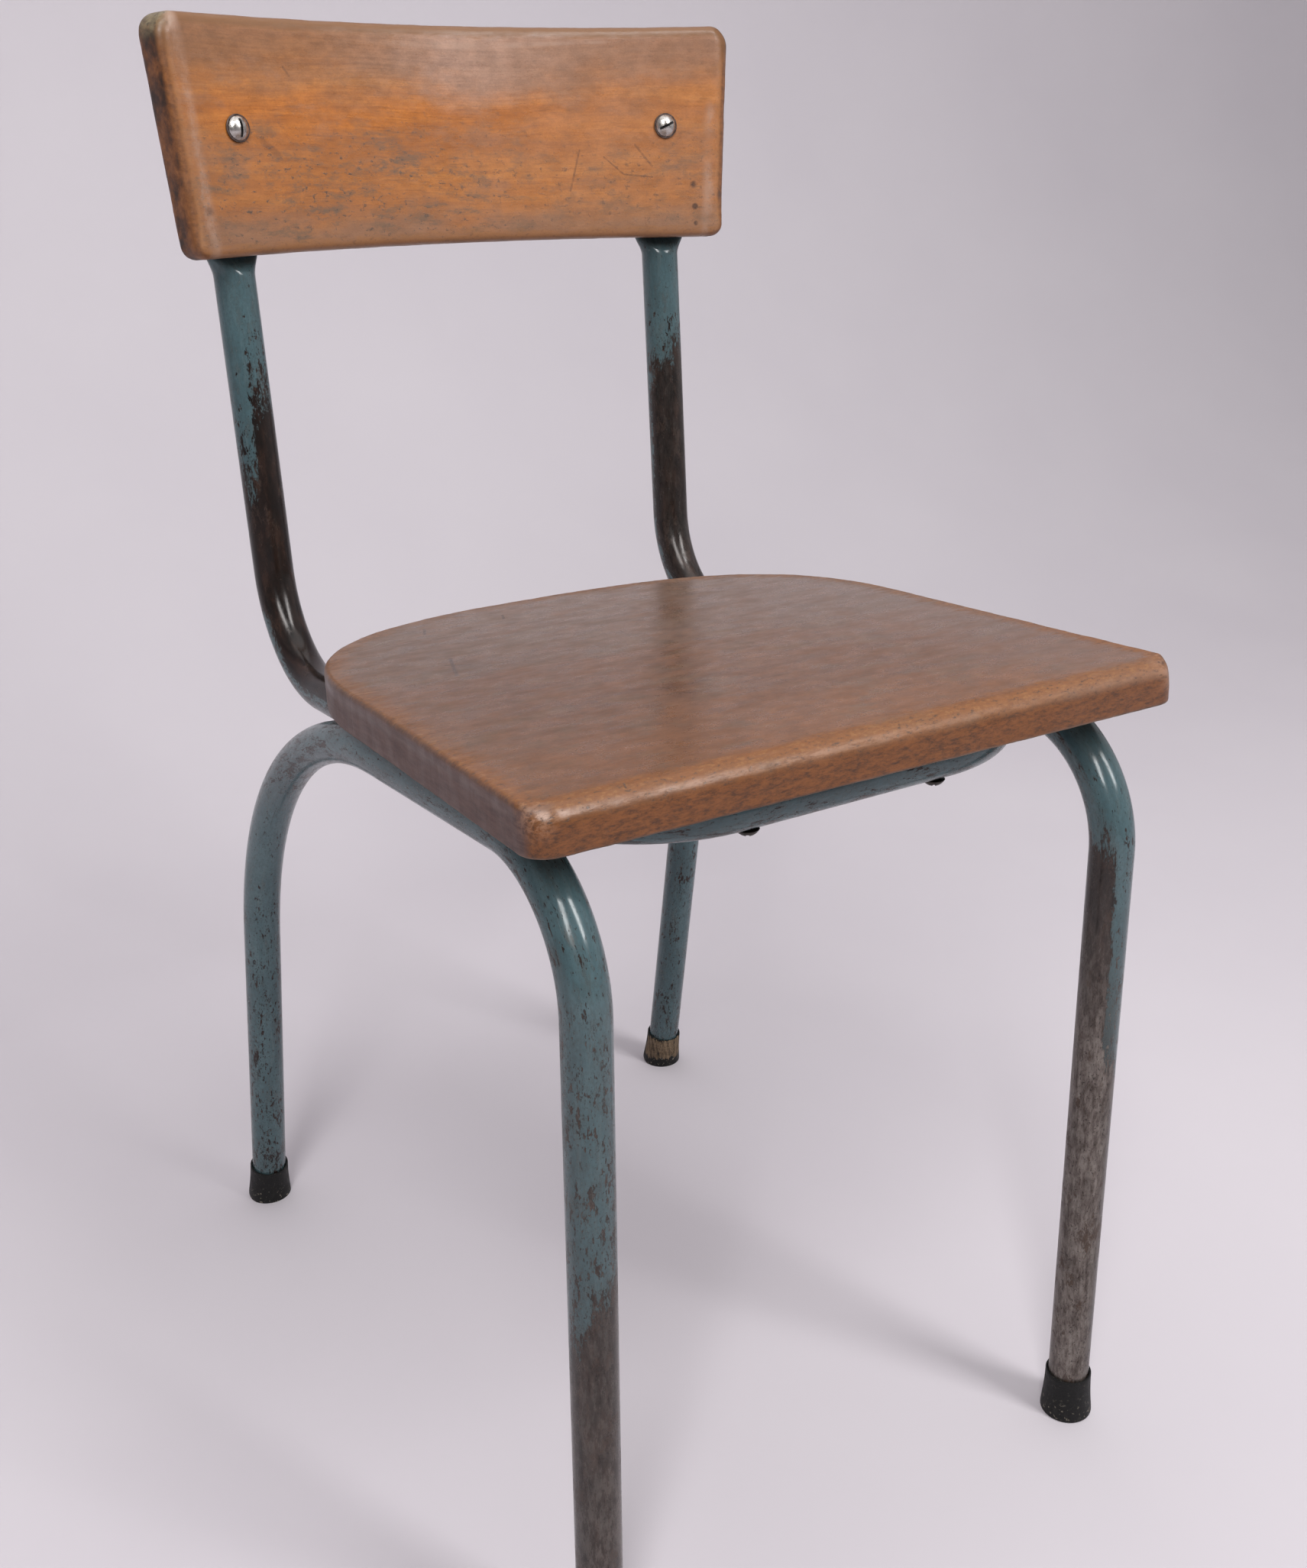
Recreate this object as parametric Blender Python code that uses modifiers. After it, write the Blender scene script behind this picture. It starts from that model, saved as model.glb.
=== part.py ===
"""School chair with chipped paint: two bent-tube leg hoops, a bent-tube back frame, a wood seat and backrest.

Metres, +Z up. The chair faces -Y, and the origin is on the floor in the middle of the four feet.
"""

import bmesh
import bpy
from math import asin, ceil, cos, pi, radians, sin, sqrt, tan
from mathutils import Matrix, Vector

# Fit
GAP = 0.0003                       # clearance between pieces that touch

# Frame tube
TUBE_DIAMETER = 0.022
TUBE_WALL = 0.0015
TUBE_SIDE_DETAIL = 8               # bevel resolution: 20 sides
BEND_STEP = radians(11.0)          # turn between two rings of a bend

# Where the legs stand
FRONT_TRACK = 0.3066               # between the middles of the two front feet
REAR_TRACK = 0.3208
BASE_DEPTH = 0.4432                # between the middles of a front and a rear foot
FRONT_LEG_LEAN = radians(0.70)     # backwards towards the top
REAR_LEG_LEAN = radians(10.73)     # forwards towards the top
LEG_SPLAY = radians(0.77)          # outwards towards the floor

# The rails under the seat
RAIL_HEIGHT = 0.3988               # middle of the tube, half way between the feet
RAIL_SLOPE = radians(2.94)         # down towards the back
FRONT_LEG_BEND = 0.0616
REAR_LEG_BEND = 0.2233

# Back frame
CROSS_TUBE_Y = -0.1914             # middle of the front cross-piece
CROSS_TUBE_BEND = 0.0697
POST_FOOT_Y = 0.1553               # where the line of a post meets the line of its rail
POST_BEND = 0.0607
POST_RECLINE = radians(4.39)
POST_SPLAY = radians(0.45)
POST_TOP_ABOVE_SCREW = 0.031
PRESS_LENGTH = 0.014               # the post goes from round to a flat tab over this, at the board's foot
PRESS_STEPS = 7
TAB_THICKNESS = 0.0040

# Rubber ferrules
FERRULE_WALL_TOP = 0.0012
FERRULE_WALL_FOOT = 0.0028
FERRULE_HEIGHT = 0.027
FERRULE_FLOOR = 0.006              # rubber under the end of the tube
FERRULE_RIM_ROUND = 0.0006

# Seat board
SEAT_WIDTH = 0.3475                # across the front
SEAT_FRONT_Y = -0.2268
SEAT_REAR_Y = 0.0975
SEAT_THICKNESS = 0.0220
SEAT_SIDE_TAPER = radians(1.6)     # each side runs in towards the back
SEAT_CORNER_RADIUS = 0.0135
SEAT_REAR_ROUND = 0.138            # depth of the rounded rear
SEAT_REAR_EXPONENT = 2.75          # 2 is an ellipse, more is squarer
SEAT_NOSE_RADIUS = 0.0120          # upper front edge
SEAT_EDGE_RADIUS = 0.0040          # other upper edges
SEAT_UNDER_RADIUS = 0.0020
SEAT_OFFSET = 0.0005               # the seat sits a little to one side
SEAT_TURN = radians(-0.7)          # and a little askew, about the middle of its front edge

# Backrest board
BACKREST_TOP_WIDTH = 0.3460        # along the curve
BACKREST_FOOT_WIDTH = 0.3290
BACKREST_ABOVE_SCREW = 0.0543
BACKREST_BELOW_SCREW = 0.0603
BACKREST_FOOT_ARCH = 0.0034        # the lower edge rises by this in the middle
BACKREST_THICKNESS = 0.0190
BACKREST_RADIUS = 0.525            # of the hollow front face, seen from above
BACKREST_TOP_CORNER = 0.0110
BACKREST_FOOT_CORNER = 0.0080
BACKREST_FRONT_ROUND = 0.0065
BACKREST_REAR_ROUND = 0.0045
BACKREST_STRIPS = 14
BACKREST_OFFSET = 0.0010           # it sits a little to one side

# Seat screws
SEAT_SCREW_SHANK = 0.0046
SEAT_SCREW_HEAD = 0.0107
SEAT_SCREW_HEAD_HEIGHT = 0.0032
SEAT_SCREW_BITE = 0.0140           # length in the wood
SEAT_SCREW_POINT = 0.0030
FRONT_SEAT_SCREW_SPREAD = 0.1050
REAR_SEAT_SCREW_Y = 0.0300

# Backrest screws
BACK_SCREW_ABOVE_RAILS = 0.2808    # on the middle line of the post, above the rails half way between the feet
BACK_SCREW_SHANK = 0.0056
BACK_SCREW_HEAD = 0.0118
BACK_SCREW_HEAD_HEIGHT = 0.0030
BACK_SCREW_TAIL = 0.0025           # beyond the nut
WASHER_DIAMETER = 0.0138
WASHER_THICKNESS = 0.0008
NUT_ACROSS_FLATS = 0.0090
NUT_THICKNESS = 0.0040
LEFT_SLOT_TURN = radians(90.0)
RIGHT_SLOT_TURN = radians(23.0)

# Slots of both kinds of screw
SLOT_WIDTH = 0.0014
SLOT_DEPTH = 0.0016

# Weld beads between the rails
WELD_LENGTH = 0.024
WELD_RADIUS = 0.0022

TURN_STEPS = 20
SMALL_TURN_STEPS = 16
MERGE = 0.00002

# Worked out from the sizes above
TUBE_RADIUS = TUBE_DIAMETER / 2
RAIL_SPACING = TUBE_DIAMETER + GAP
RAIL_NORMAL = Vector((0.0, sin(RAIL_SLOPE), cos(RAIL_SLOPE)))
RAIL_MIDDLE = Vector((0.0, 0.0, RAIL_HEIGHT))
SEAT_LIFT = TUBE_RADIUS + GAP
BACK_SCREW_HEIGHT = RAIL_HEIGHT + BACK_SCREW_ABOVE_RAILS

for old in list(bpy.data.objects):
    bpy.data.objects.remove(old, do_unlink=True)


def new_collection(name):
    """A collection linked to the scene."""
    collection = bpy.data.collections.new(name)
    bpy.context.scene.collection.children.link(collection)
    return collection


chair = new_collection("peeling_paint_chair")
cutters = new_collection("cutters")
chair_origin = bpy.data.objects.new("chair_origin", None)
chair.objects.link(chair_origin)


def principled(name, colour, roughness, metallic=0.0):
    """A plain material with one Principled shader."""
    material = bpy.data.materials.new(name)
    material.use_nodes = True
    shader = material.node_tree.nodes["Principled BSDF"]
    shader.inputs["Base Color"].default_value = (*colour, 1.0)
    shader.inputs["Roughness"].default_value = roughness
    shader.inputs["Metallic"].default_value = metallic
    return material


def add_mesh(name, mesh, material, matrix=None, smooth=True):
    """A mesh object of the chair, placed by its matrix."""
    piece = bpy.data.objects.new(name, mesh)
    chair.objects.link(piece)
    piece.parent = chair_origin
    piece.data.materials.clear()
    piece.data.materials.append(material)
    if matrix is not None:
        piece.matrix_world = matrix
    if smooth:
        mesh.shade_smooth()
        mesh.set_sharp_from_angle(angle=radians(35.0))
    return piece


def frame_at(place, z_axis, x_hint=Vector((1.0, 0.0, 0.0))):
    """A placement at a point, with +Z along z_axis and +X as near to x_hint as it can be."""
    z_axis = z_axis.normalized()
    x_axis = (x_hint - x_hint.dot(z_axis) * z_axis).normalized()
    y_axis = z_axis.cross(x_axis)
    turned = Matrix((x_axis, y_axis, z_axis)).transposed().to_4x4()
    return Matrix.Translation(place) @ turned


def hide_cutter(cutter):
    """Moves a cutting shape to its own collection, out of the render."""
    for collection in list(cutter.users_collection):
        collection.objects.unlink(cutter)
    cutters.objects.link(cutter)
    cutter.hide_render = True
    cutter.display_type = "WIRE"
    return cutter


def cylinder_cutter(name, radius, length, matrix):
    """A cylinder whose axis runs along +Z from the placement's origin."""
    bpy.ops.mesh.primitive_cylinder_add(vertices=TURN_STEPS, radius=radius, depth=length)
    cutter = bpy.context.object
    cutter.name = name
    cutter.matrix_world = matrix @ Matrix.Translation((0.0, 0.0, length / 2))
    return hide_cutter(cutter)


def box_cutter(name, size, matrix):
    """A box centred on the placement's origin."""
    bpy.ops.mesh.primitive_cube_add(size=1.0)
    cutter = bpy.context.object
    cutter.name = name
    cutter.matrix_world = matrix @ Matrix.Diagonal((*size, 1.0))
    return hide_cutter(cutter)


def cut(piece, cutter):
    """Takes the cutter's shape out of the piece."""
    modifier = piece.modifiers.new(cutter.name, "BOOLEAN")
    modifier.operation = "DIFFERENCE"
    modifier.solver = "EXACT"
    modifier.object = cutter


def fillet(corners, radii):
    """The points of a path through corners, each inner corner rounded to its radius."""
    path = [corners[0]]
    for before, corner, after, radius in zip(corners, corners[1:], corners[2:], radii):
        towards_start = (before - corner).normalized()
        towards_end = (after - corner).normalized()
        opening = towards_start.angle(towards_end)
        turn = pi - opening
        middle = corner + (towards_start + towards_end).normalized() * radius / sin(opening / 2)
        axis = towards_end.cross(towards_start).normalized()
        arm = corner + towards_start * radius / tan(opening / 2) - middle
        steps = max(2, ceil(turn / BEND_STEP))
        for step in range(steps + 1):
            path.append(middle + Matrix.Rotation(turn * step / steps, 3, axis) @ arm)
    path.append(corners[-1])
    return path


def bent_tube(name, path, material):
    """An open tube along a path: a bevelled curve made a mesh. Its wall is still to come."""
    curve = bpy.data.curves.new(name, "CURVE")
    curve.dimensions = "3D"
    curve.bevel_depth = TUBE_RADIUS
    curve.bevel_resolution = TUBE_SIDE_DETAIL
    curve.use_fill_caps = False
    curve.render_resolution_u = 0
    spline = curve.splines.new("POLY")
    spline.points.add(len(path) - 1)
    for point, place in zip(spline.points, path):
        point.co = (*place, 1.0)
    guide = bpy.data.objects.new(name + "_guide", curve)
    chair.objects.link(guide)
    evaluated = guide.evaluated_get(bpy.context.evaluated_depsgraph_get())
    mesh = bpy.data.meshes.new_from_object(evaluated)
    bpy.data.objects.remove(guide, do_unlink=True)
    shape = bmesh.new()
    shape.from_mesh(mesh)
    bmesh.ops.remove_doubles(shape, verts=shape.verts, dist=MERGE)
    bmesh.ops.recalc_face_normals(shape, faces=shape.faces)
    shape.to_mesh(mesh)
    shape.free()
    mesh.name = name
    return add_mesh(name, mesh, material)


def add_wall(piece, thickness):
    """Gives an open tube its wall, inwards from its outer face."""
    wall = piece.modifiers.new("wall", "SOLIDIFY")
    wall.thickness = thickness
    wall.offset = -1.0
    wall.use_even_offset = True
    wall.use_rim = True


def turned(name, profile, material, matrix, steps=TURN_STEPS, closed=False):
    """A turned piece. Its profile of (radius, height) runs down the outer side."""
    mesh = bpy.data.meshes.new(name)
    points = [(radius, 0.0, height) for radius, height in profile]
    edges = [(i, i + 1) for i in range(len(points) - 1)]
    if closed:
        edges.append((len(points) - 1, 0))
    mesh.from_pydata(points, edges, [])
    piece = add_mesh(name, mesh, material, matrix, smooth=False)
    spin = piece.modifiers.new("turn", "SCREW")
    spin.axis = "Z"
    spin.steps = steps
    spin.render_steps = steps
    spin.use_merge_vertices = True
    spin.merge_threshold = MERGE
    spin.use_smooth_shade = True
    return piece


def dome(head_radius, head_height, steps=5):
    """Points of a domed head from its top to its rim, as (radius, height above the seat of the head)."""
    sphere = (head_radius ** 2 + head_height ** 2) / (2 * head_height)
    sweep = asin(head_radius / sphere)
    return [
        (sphere * sin(sweep * i / steps), head_height - sphere * (1 - cos(sweep * i / steps)))
        for i in range(steps + 1)
    ]


def board(name, outline, thickness, rounding, material, matrix, strips=0):
    """A board from its outline, from z = 0 up. rounding gives an edge's radius from its middle."""
    shape = bmesh.new()
    face = shape.faces.new([shape.verts.new((x, y, 0.0)) for x, y in outline])
    if face.normal.z > 0:
        face.normal_flip()
    left = min(x for x, y in outline)
    width = max(x for x, y in outline) - left
    for strip in range(1, strips):
        parts = shape.verts[:] + shape.edges[:] + shape.faces[:]
        at = Vector((left + width * strip / strips, 0.0, 0.0))
        bmesh.ops.bisect_plane(shape, geom=parts, plane_co=at, plane_no=(1.0, 0.0, 0.0), dist=1e-7)
    lower = shape.faces[:]
    raised = bmesh.ops.extrude_face_region(shape, geom=lower, use_keep_orig=True)
    upper = [item for item in raised["geom"] if isinstance(item, bmesh.types.BMVert)]
    bmesh.ops.translate(shape, verts=upper, vec=(0.0, 0.0, thickness))
    bmesh.ops.recalc_face_normals(shape, faces=shape.faces)
    shape.edges.ensure_lookup_table()
    weights = shape.edges.layers.float.new("bevel_weight_edge")
    largest = 0.0
    radii = {}
    for edge in shape.edges:
        level = abs(edge.verts[0].co.z - edge.verts[1].co.z) < thickness / 2
        if level and edge.calc_face_angle(0.0) > radians(60.0):
            middle = (edge.verts[0].co + edge.verts[1].co) / 2
            radii[edge] = rounding(middle)
            largest = max(largest, radii[edge])
    for edge, radius in radii.items():
        edge[weights] = radius / largest
    mesh = bpy.data.meshes.new(name)
    shape.to_mesh(mesh)
    shape.free()
    piece = add_mesh(name, mesh, material, matrix, smooth=False)
    bevel = piece.modifiers.new("rounded edges", "BEVEL")
    bevel.limit_method = "WEIGHT"
    bevel.width = largest
    bevel.segments = 3
    bevel.use_clamp_overlap = True
    return piece


paint = principled("petrol_paint", (0.075, 0.165, 0.185), 0.30)
seat_wood = principled("seat_wood", (0.28, 0.14, 0.075), 0.38)
backrest_wood = principled("backrest_wood", (0.46, 0.20, 0.065), 0.35)
rubber = principled("black_rubber", (0.018, 0.017, 0.016), 0.70)
dark_steel = principled("dark_steel", (0.05, 0.045, 0.04), 0.45, 0.8)
bright_steel = principled("bright_steel", (0.58, 0.56, 0.53), 0.25, 1.0)
weld_metal = principled("painted_weld", (0.07, 0.15, 0.17), 0.40)


def meet_rails(place, direction):
    """Where a line meets the plane through the middles of the rails."""
    reach = (RAIL_MIDDLE - place).dot(RAIL_NORMAL) / direction.dot(RAIL_NORMAL)
    return place + direction * reach


def rail_point(x, y, lift=0.0):
    """A point of the rails' plane, raised along its normal."""
    return Vector((x, y, RAIL_HEIGHT - tan(RAIL_SLOPE) * y)) + RAIL_NORMAL * lift


def foot_and_lean(side, row):
    """The middle of a foot on the floor, and the upward direction of its leg."""
    if row == "front":
        foot = Vector((side * FRONT_TRACK / 2, -BASE_DEPTH / 2, 0.0))
        lean = Vector((-side * tan(LEG_SPLAY), tan(FRONT_LEG_LEAN), 1.0))
    else:
        foot = Vector((side * REAR_TRACK / 2, BASE_DEPTH / 2, 0.0))
        lean = Vector((-side * tan(LEG_SPLAY), -tan(REAR_LEG_LEAN), 1.0))
    return foot, lean.normalized()


def hoop_corners(side):
    """Where the lines of a hoop's two legs meet the line of its rail."""
    front = meet_rails(*foot_and_lean(side, "front"))
    rear = meet_rails(*foot_and_lean(side, "rear"))
    return front, rear


def inner_rail_x(side, y):
    """The back frame's rail, side by side with the hoop's rail."""
    front, rear = hoop_corners(side)
    along = (rear - front).normalized()
    outer = front.x + (y - front.y) * along.x / along.y
    return outer - side * RAIL_SPACING / along.y


# Leg hoops
SIDES = (("left", -1), ("right", 1))
for side_name, side in SIDES:
    front_foot, front_lean = foot_and_lean(side, "front")
    rear_foot, rear_lean = foot_and_lean(side, "rear")
    front_corner, rear_corner = hoop_corners(side)
    tube_start = FERRULE_FLOOR + GAP
    hoop_path = fillet(
        [front_foot + front_lean * tube_start, front_corner, rear_corner, rear_foot + rear_lean * tube_start],
        [FRONT_LEG_BEND, REAR_LEG_BEND],
    )
    hoop = bent_tube(side_name + "_leg_hoop", hoop_path, paint)
    add_wall(hoop, TUBE_WALL)

# Backrest geometry that the posts share
backrest_turn = Matrix.Rotation(-POST_RECLINE, 3, "X")
tab_depth = BACKREST_THICKNESS + GAP + TAB_THICKNESS / 2
post_corner = rail_point(inner_rail_x(1, POST_FOOT_Y), POST_FOOT_Y)
post_lean = Vector((tan(POST_SPLAY), tan(POST_RECLINE), 1.0))
tab_middle = post_corner + post_lean * (BACK_SCREW_HEIGHT - post_corner.z)
screw_angle = asin(tab_middle.x / (BACKREST_RADIUS + tab_depth))
tab_in_board = Vector((
    (BACKREST_RADIUS + tab_depth) * sin(screw_angle),
    (BACKREST_RADIUS + tab_depth) * cos(screw_angle) - BACKREST_RADIUS,
    0.0,
))
backrest_origin = tab_middle - backrest_turn @ tab_in_board


def mirrored(point, side):
    """A point of the right half, taken to the given side."""
    return Vector((side * point.x, point.y, point.z))


def front_normal(side):
    """The direction that the backrest's face looks in at a screw."""
    return backrest_turn @ Vector((-side * sin(screw_angle), -cos(screw_angle), 0.0))


# Back frame
cross_corner = rail_point(inner_rail_x(1, CROSS_TUBE_Y), CROSS_TUBE_Y)
post_unit = post_lean.normalized()
post_top = tab_middle + post_unit * POST_TOP_ABOVE_SCREW
screw_share = BACKREST_RADIUS * screw_angle / (BACKREST_FOOT_WIDTH / 2)
board_foot = BACKREST_BELOW_SCREW + BACKREST_FOOT_ARCH * screw_share ** 2
press_end = board_foot - BACKREST_REAR_ROUND
press_start = press_end + PRESS_LENGTH
post_stations = [
    tab_middle - post_unit * (press_start - PRESS_LENGTH * step / PRESS_STEPS) for step in range(PRESS_STEPS + 1)
]
half_path = fillet(
    [rail_point(0.0, CROSS_TUBE_Y), cross_corner, post_corner, post_top],
    [CROSS_TUBE_BEND, POST_BEND],
)
half_path = half_path[1:-1] + post_stations + [tab_middle, post_top]
frame_path = [mirrored(point, -1) for point in reversed(half_path)] + half_path
back_frame = bent_tube("back_frame_tube", frame_path, paint)


def pressed_section(angle, half_thickness):
    """A tube's section pressed to a flat one of the same girth, as (along the normal, across)."""
    quarter_girth = pi * TUBE_RADIUS / 2
    flat = quarter_girth - pi * half_thickness / 2
    quadrant = int(angle // (pi / 2)) % 4
    run = (angle - quadrant * pi / 2) * TUBE_RADIUS
    if quadrant % 2:
        run = quarter_girth - run
    if run <= flat:
        normal, across = half_thickness, run
    else:
        bend = (run - flat) / half_thickness
        normal, across = half_thickness * cos(bend), flat + half_thickness * sin(bend)
    if quadrant in (1, 2):
        normal = -normal
    if quadrant in (2, 3):
        across = -across
    return normal, across


def press_post(mesh, side):
    """Presses the top of a post to a tab that lies flat on the back of the backrest."""
    middle = mirrored(tab_middle, side)
    axis = mirrored(post_unit, side)
    normal = front_normal(side)
    normal = (normal - normal.dot(axis) * axis).normalized()
    across = axis.cross(normal)
    for vertex in mesh.vertices:
        arm = vertex.co - middle
        below = -arm.dot(axis)
        if vertex.co.x * side < 0 or below > press_start + MERGE:
            continue
        share = min((press_start - below) / PRESS_LENGTH, 1.0)
        share = share * share * (3 - 2 * share)
        half_thickness = TUBE_RADIUS + (TAB_THICKNESS / 2 - TUBE_RADIUS) * share
        flat_arm = Vector((arm.dot(normal), arm.dot(across)))
        angle = Vector((1.0, 0.0)).angle_signed(flat_arm, 0.0)
        angle = -angle % (2 * pi)
        thick, wide = pressed_section(angle, half_thickness)
        vertex.co = middle - axis * below + normal * thick + across * wide


for side_name, side in SIDES:
    press_post(back_frame.data, side)
add_wall(back_frame, TUBE_WALL)

# Ferrules
bore = TUBE_RADIUS + GAP
ferrule_top = bore + FERRULE_WALL_TOP
ferrule_foot = bore + FERRULE_WALL_FOOT
below_floor = ferrule_foot * tan(REAR_LEG_LEAN) + 0.002
ferrule_profile = [
    (0.0, FERRULE_FLOOR),
    (bore, FERRULE_FLOOR),
    (bore, FERRULE_HEIGHT - FERRULE_RIM_ROUND),
    (bore + FERRULE_WALL_TOP / 2, FERRULE_HEIGHT),
    (ferrule_top, FERRULE_HEIGHT - FERRULE_RIM_ROUND),
    (ferrule_foot, 0.0),
    (ferrule_foot, -below_floor),
    (0.0, -below_floor),
]
floor_size = Vector((REAR_TRACK + FRONT_TRACK, 2 * BASE_DEPTH, 4 * below_floor))
floor_block = box_cutter("floor_block", floor_size, Matrix.Translation((0.0, 0.0, -floor_size.z / 2)))
for side_name, side in SIDES:
    for row in ("front", "rear"):
        foot, lean = foot_and_lean(side, row)
        name = row + "_" + side_name + "_ferrule"
        ferrule = turned(name, ferrule_profile, rubber, frame_at(foot, lean))
        cut(ferrule, floor_block)


def seat_outline():
    """The seat in plan, from the middle of the front edge round by the right."""
    depth = SEAT_REAR_Y - SEAT_FRONT_Y
    round_start = depth - SEAT_REAR_ROUND
    front_half = SEAT_WIDTH / 2
    rear_half = front_half - tan(SEAT_SIDE_TAPER) * round_start
    corners = [Vector((0.0, 0.0, 0.0)), Vector((front_half, 0.0, 0.0)), Vector((rear_half, round_start, 0.0))]
    right = [(point.x, point.y) for point in fillet(corners, [SEAT_CORNER_RADIUS])]
    steps = 12
    power = 2 / SEAT_REAR_EXPONENT
    for step in range(1, steps + 1):
        angle = pi / 2 * step / steps
        x = rear_half * max(cos(angle), 0.0) ** power
        y = round_start + SEAT_REAR_ROUND * sin(angle) ** power
        right.append((x, y))
    right[-1] = (0.0, depth)
    left = [(-x, y) for x, y in reversed(right[1:-1])]
    return [(x, y + SEAT_FRONT_Y) for x, y in right + left]


def seat_rounding(middle):
    """Full nose at the front, easing round the front corners to the plain edge radius."""
    if middle.z < SEAT_THICKNESS / 2:
        return SEAT_UNDER_RADIUS
    nose = min(SEAT_NOSE_RADIUS, 0.9 * SEAT_CORNER_RADIUS)
    share = (middle.y - SEAT_FRONT_Y) / SEAT_CORNER_RADIUS
    share = min(max(share, 0.0), 1.0)
    return nose + (SEAT_EDGE_RADIUS - nose) * share


# Seat
seat_place = (
    Matrix.Translation(rail_point(SEAT_OFFSET, 0.0, SEAT_LIFT))
    @ Matrix.Rotation(-RAIL_SLOPE, 4, "X")
    @ Matrix.Translation((0.0, SEAT_FRONT_Y, 0.0))
    @ Matrix.Rotation(SEAT_TURN, 4, "Z")
    @ Matrix.Translation((0.0, -SEAT_FRONT_Y, 0.0))
)
seat = board("seat_board", seat_outline(), SEAT_THICKNESS, seat_rounding, seat_wood, seat_place)


def backrest_outline():
    """The backrest laid flat: along the curve, and up from the screws."""
    top = BACKREST_TOP_WIDTH / 2
    foot = BACKREST_FOOT_WIDTH / 2
    corners = [
        Vector((0.0, BACKREST_ABOVE_SCREW, 0.0)),
        Vector((top, BACKREST_ABOVE_SCREW, 0.0)),
        Vector((foot, -BACKREST_BELOW_SCREW - BACKREST_FOOT_ARCH, 0.0)),
    ]
    steps = 6
    for step in range(1, steps + 1):
        share = 1 - step / steps
        rise = BACKREST_FOOT_ARCH * (1 - share * share)
        corners.append(Vector((foot * share, corners[2].y + rise, 0.0)))
    path = fillet(corners[:4], [BACKREST_TOP_CORNER, BACKREST_FOOT_CORNER])
    right = [(point.x, point.y) for point in path + corners[4:]]
    left = [(-x, y) for x, y in reversed(right[1:-1])]
    return [(x + BACKREST_OFFSET, y) for x, y in right + left]


def backrest_rounding(middle):
    """The front edges are rounded more than the rear ones."""
    corner_limit = 0.9 * min(BACKREST_TOP_CORNER, BACKREST_FOOT_CORNER)
    return min(BACKREST_FRONT_ROUND if middle.z > BACKREST_THICKNESS / 2 else BACKREST_REAR_ROUND, corner_limit)


# Backrest: laid flat with its front face up, then stood up and bent round the sitter's back
flat_board = backrest_outline()
backrest = board(
    "backrest_board", flat_board, BACKREST_THICKNESS, backrest_rounding, backrest_wood,
    None, strips=BACKREST_STRIPS,
)
stand_up = Matrix.Rotation(pi / 2, 4, "X")
backrest.data.transform(stand_up @ Matrix.Translation((0.0, 0.0, -BACKREST_THICKNESS)))
backrest.matrix_world = Matrix.Translation(backrest_origin) @ backrest_turn.to_4x4()
bend = backrest.modifiers.new("bend", "SIMPLE_DEFORM")
bend.deform_method = "BEND"
bend.deform_axis = "Z"
board_length = max(x for x, y in flat_board) - min(x for x, y in flat_board)
bend.angle = -board_length / BACKREST_RADIUS

# Seat screws, with the holes that they pass through and end in
seat_shank = SEAT_SCREW_SHANK / 2
seat_screw_length = GAP + TUBE_DIAMETER + GAP + SEAT_SCREW_BITE
seat_head = [(radius, -height) for radius, height in dome(SEAT_SCREW_HEAD / 2, SEAT_SCREW_HEAD_HEIGHT)]
seat_screw_profile = [
    (0.0, seat_screw_length),
    (seat_shank, seat_screw_length - SEAT_SCREW_POINT),
    (seat_shank, 0.0),
] + list(reversed(seat_head))
seat_slot_size = Vector((SLOT_WIDTH, 2 * SEAT_SCREW_HEAD, 2 * SLOT_DEPTH))
for side_name, side in SIDES:
    places = (
        ("front", side * FRONT_SEAT_SCREW_SPREAD / 2, CROSS_TUBE_Y),
        ("rear", inner_rail_x(side, REAR_SEAT_SCREW_Y), REAR_SEAT_SCREW_Y),
    )
    for row, x, y in places:
        name = row + "_" + side_name + "_seat_screw"
        head_seat = frame_at(rail_point(x, y, -TUBE_RADIUS - GAP), RAIL_NORMAL)
        screw = turned(name, seat_screw_profile, dark_steel, head_seat, SMALL_TURN_STEPS)
        slot_place = head_seat @ Matrix.Translation((0.0, 0.0, -SEAT_SCREW_HEAD_HEIGHT))
        cut(screw, box_cutter(name + "_slot", seat_slot_size, slot_place))
        hole = cylinder_cutter(name + "_hole", seat_shank + GAP, seat_screw_length + GAP, head_seat)
        cut(back_frame, hole)
        cut(seat, hole)

# Backrest screws, washers and nuts
back_shank = BACK_SCREW_SHANK / 2
washer_back = BACKREST_THICKNESS + GAP
head_back = washer_back + WASHER_THICKNESS + GAP
nut_front = -GAP - TAB_THICKNESS - GAP
shank_end = nut_front - NUT_THICKNESS - BACK_SCREW_TAIL
back_screw_profile = [
    (radius, head_back + height) for radius, height in dome(BACK_SCREW_HEAD / 2, BACK_SCREW_HEAD_HEIGHT)
] + [(back_shank, head_back), (back_shank, shank_end), (0.0, shank_end)]
washer_bore = back_shank + GAP
washer_profile = [
    (washer_bore, washer_back + WASHER_THICKNESS),
    (WASHER_DIAMETER / 2, washer_back + WASHER_THICKNESS),
    (WASHER_DIAMETER / 2, washer_back),
    (washer_bore, washer_back),
]
back_slot_size = Vector((2 * BACK_SCREW_HEAD, SLOT_WIDTH, 2 * SLOT_DEPTH))
hole_reach = head_back - shank_end
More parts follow.
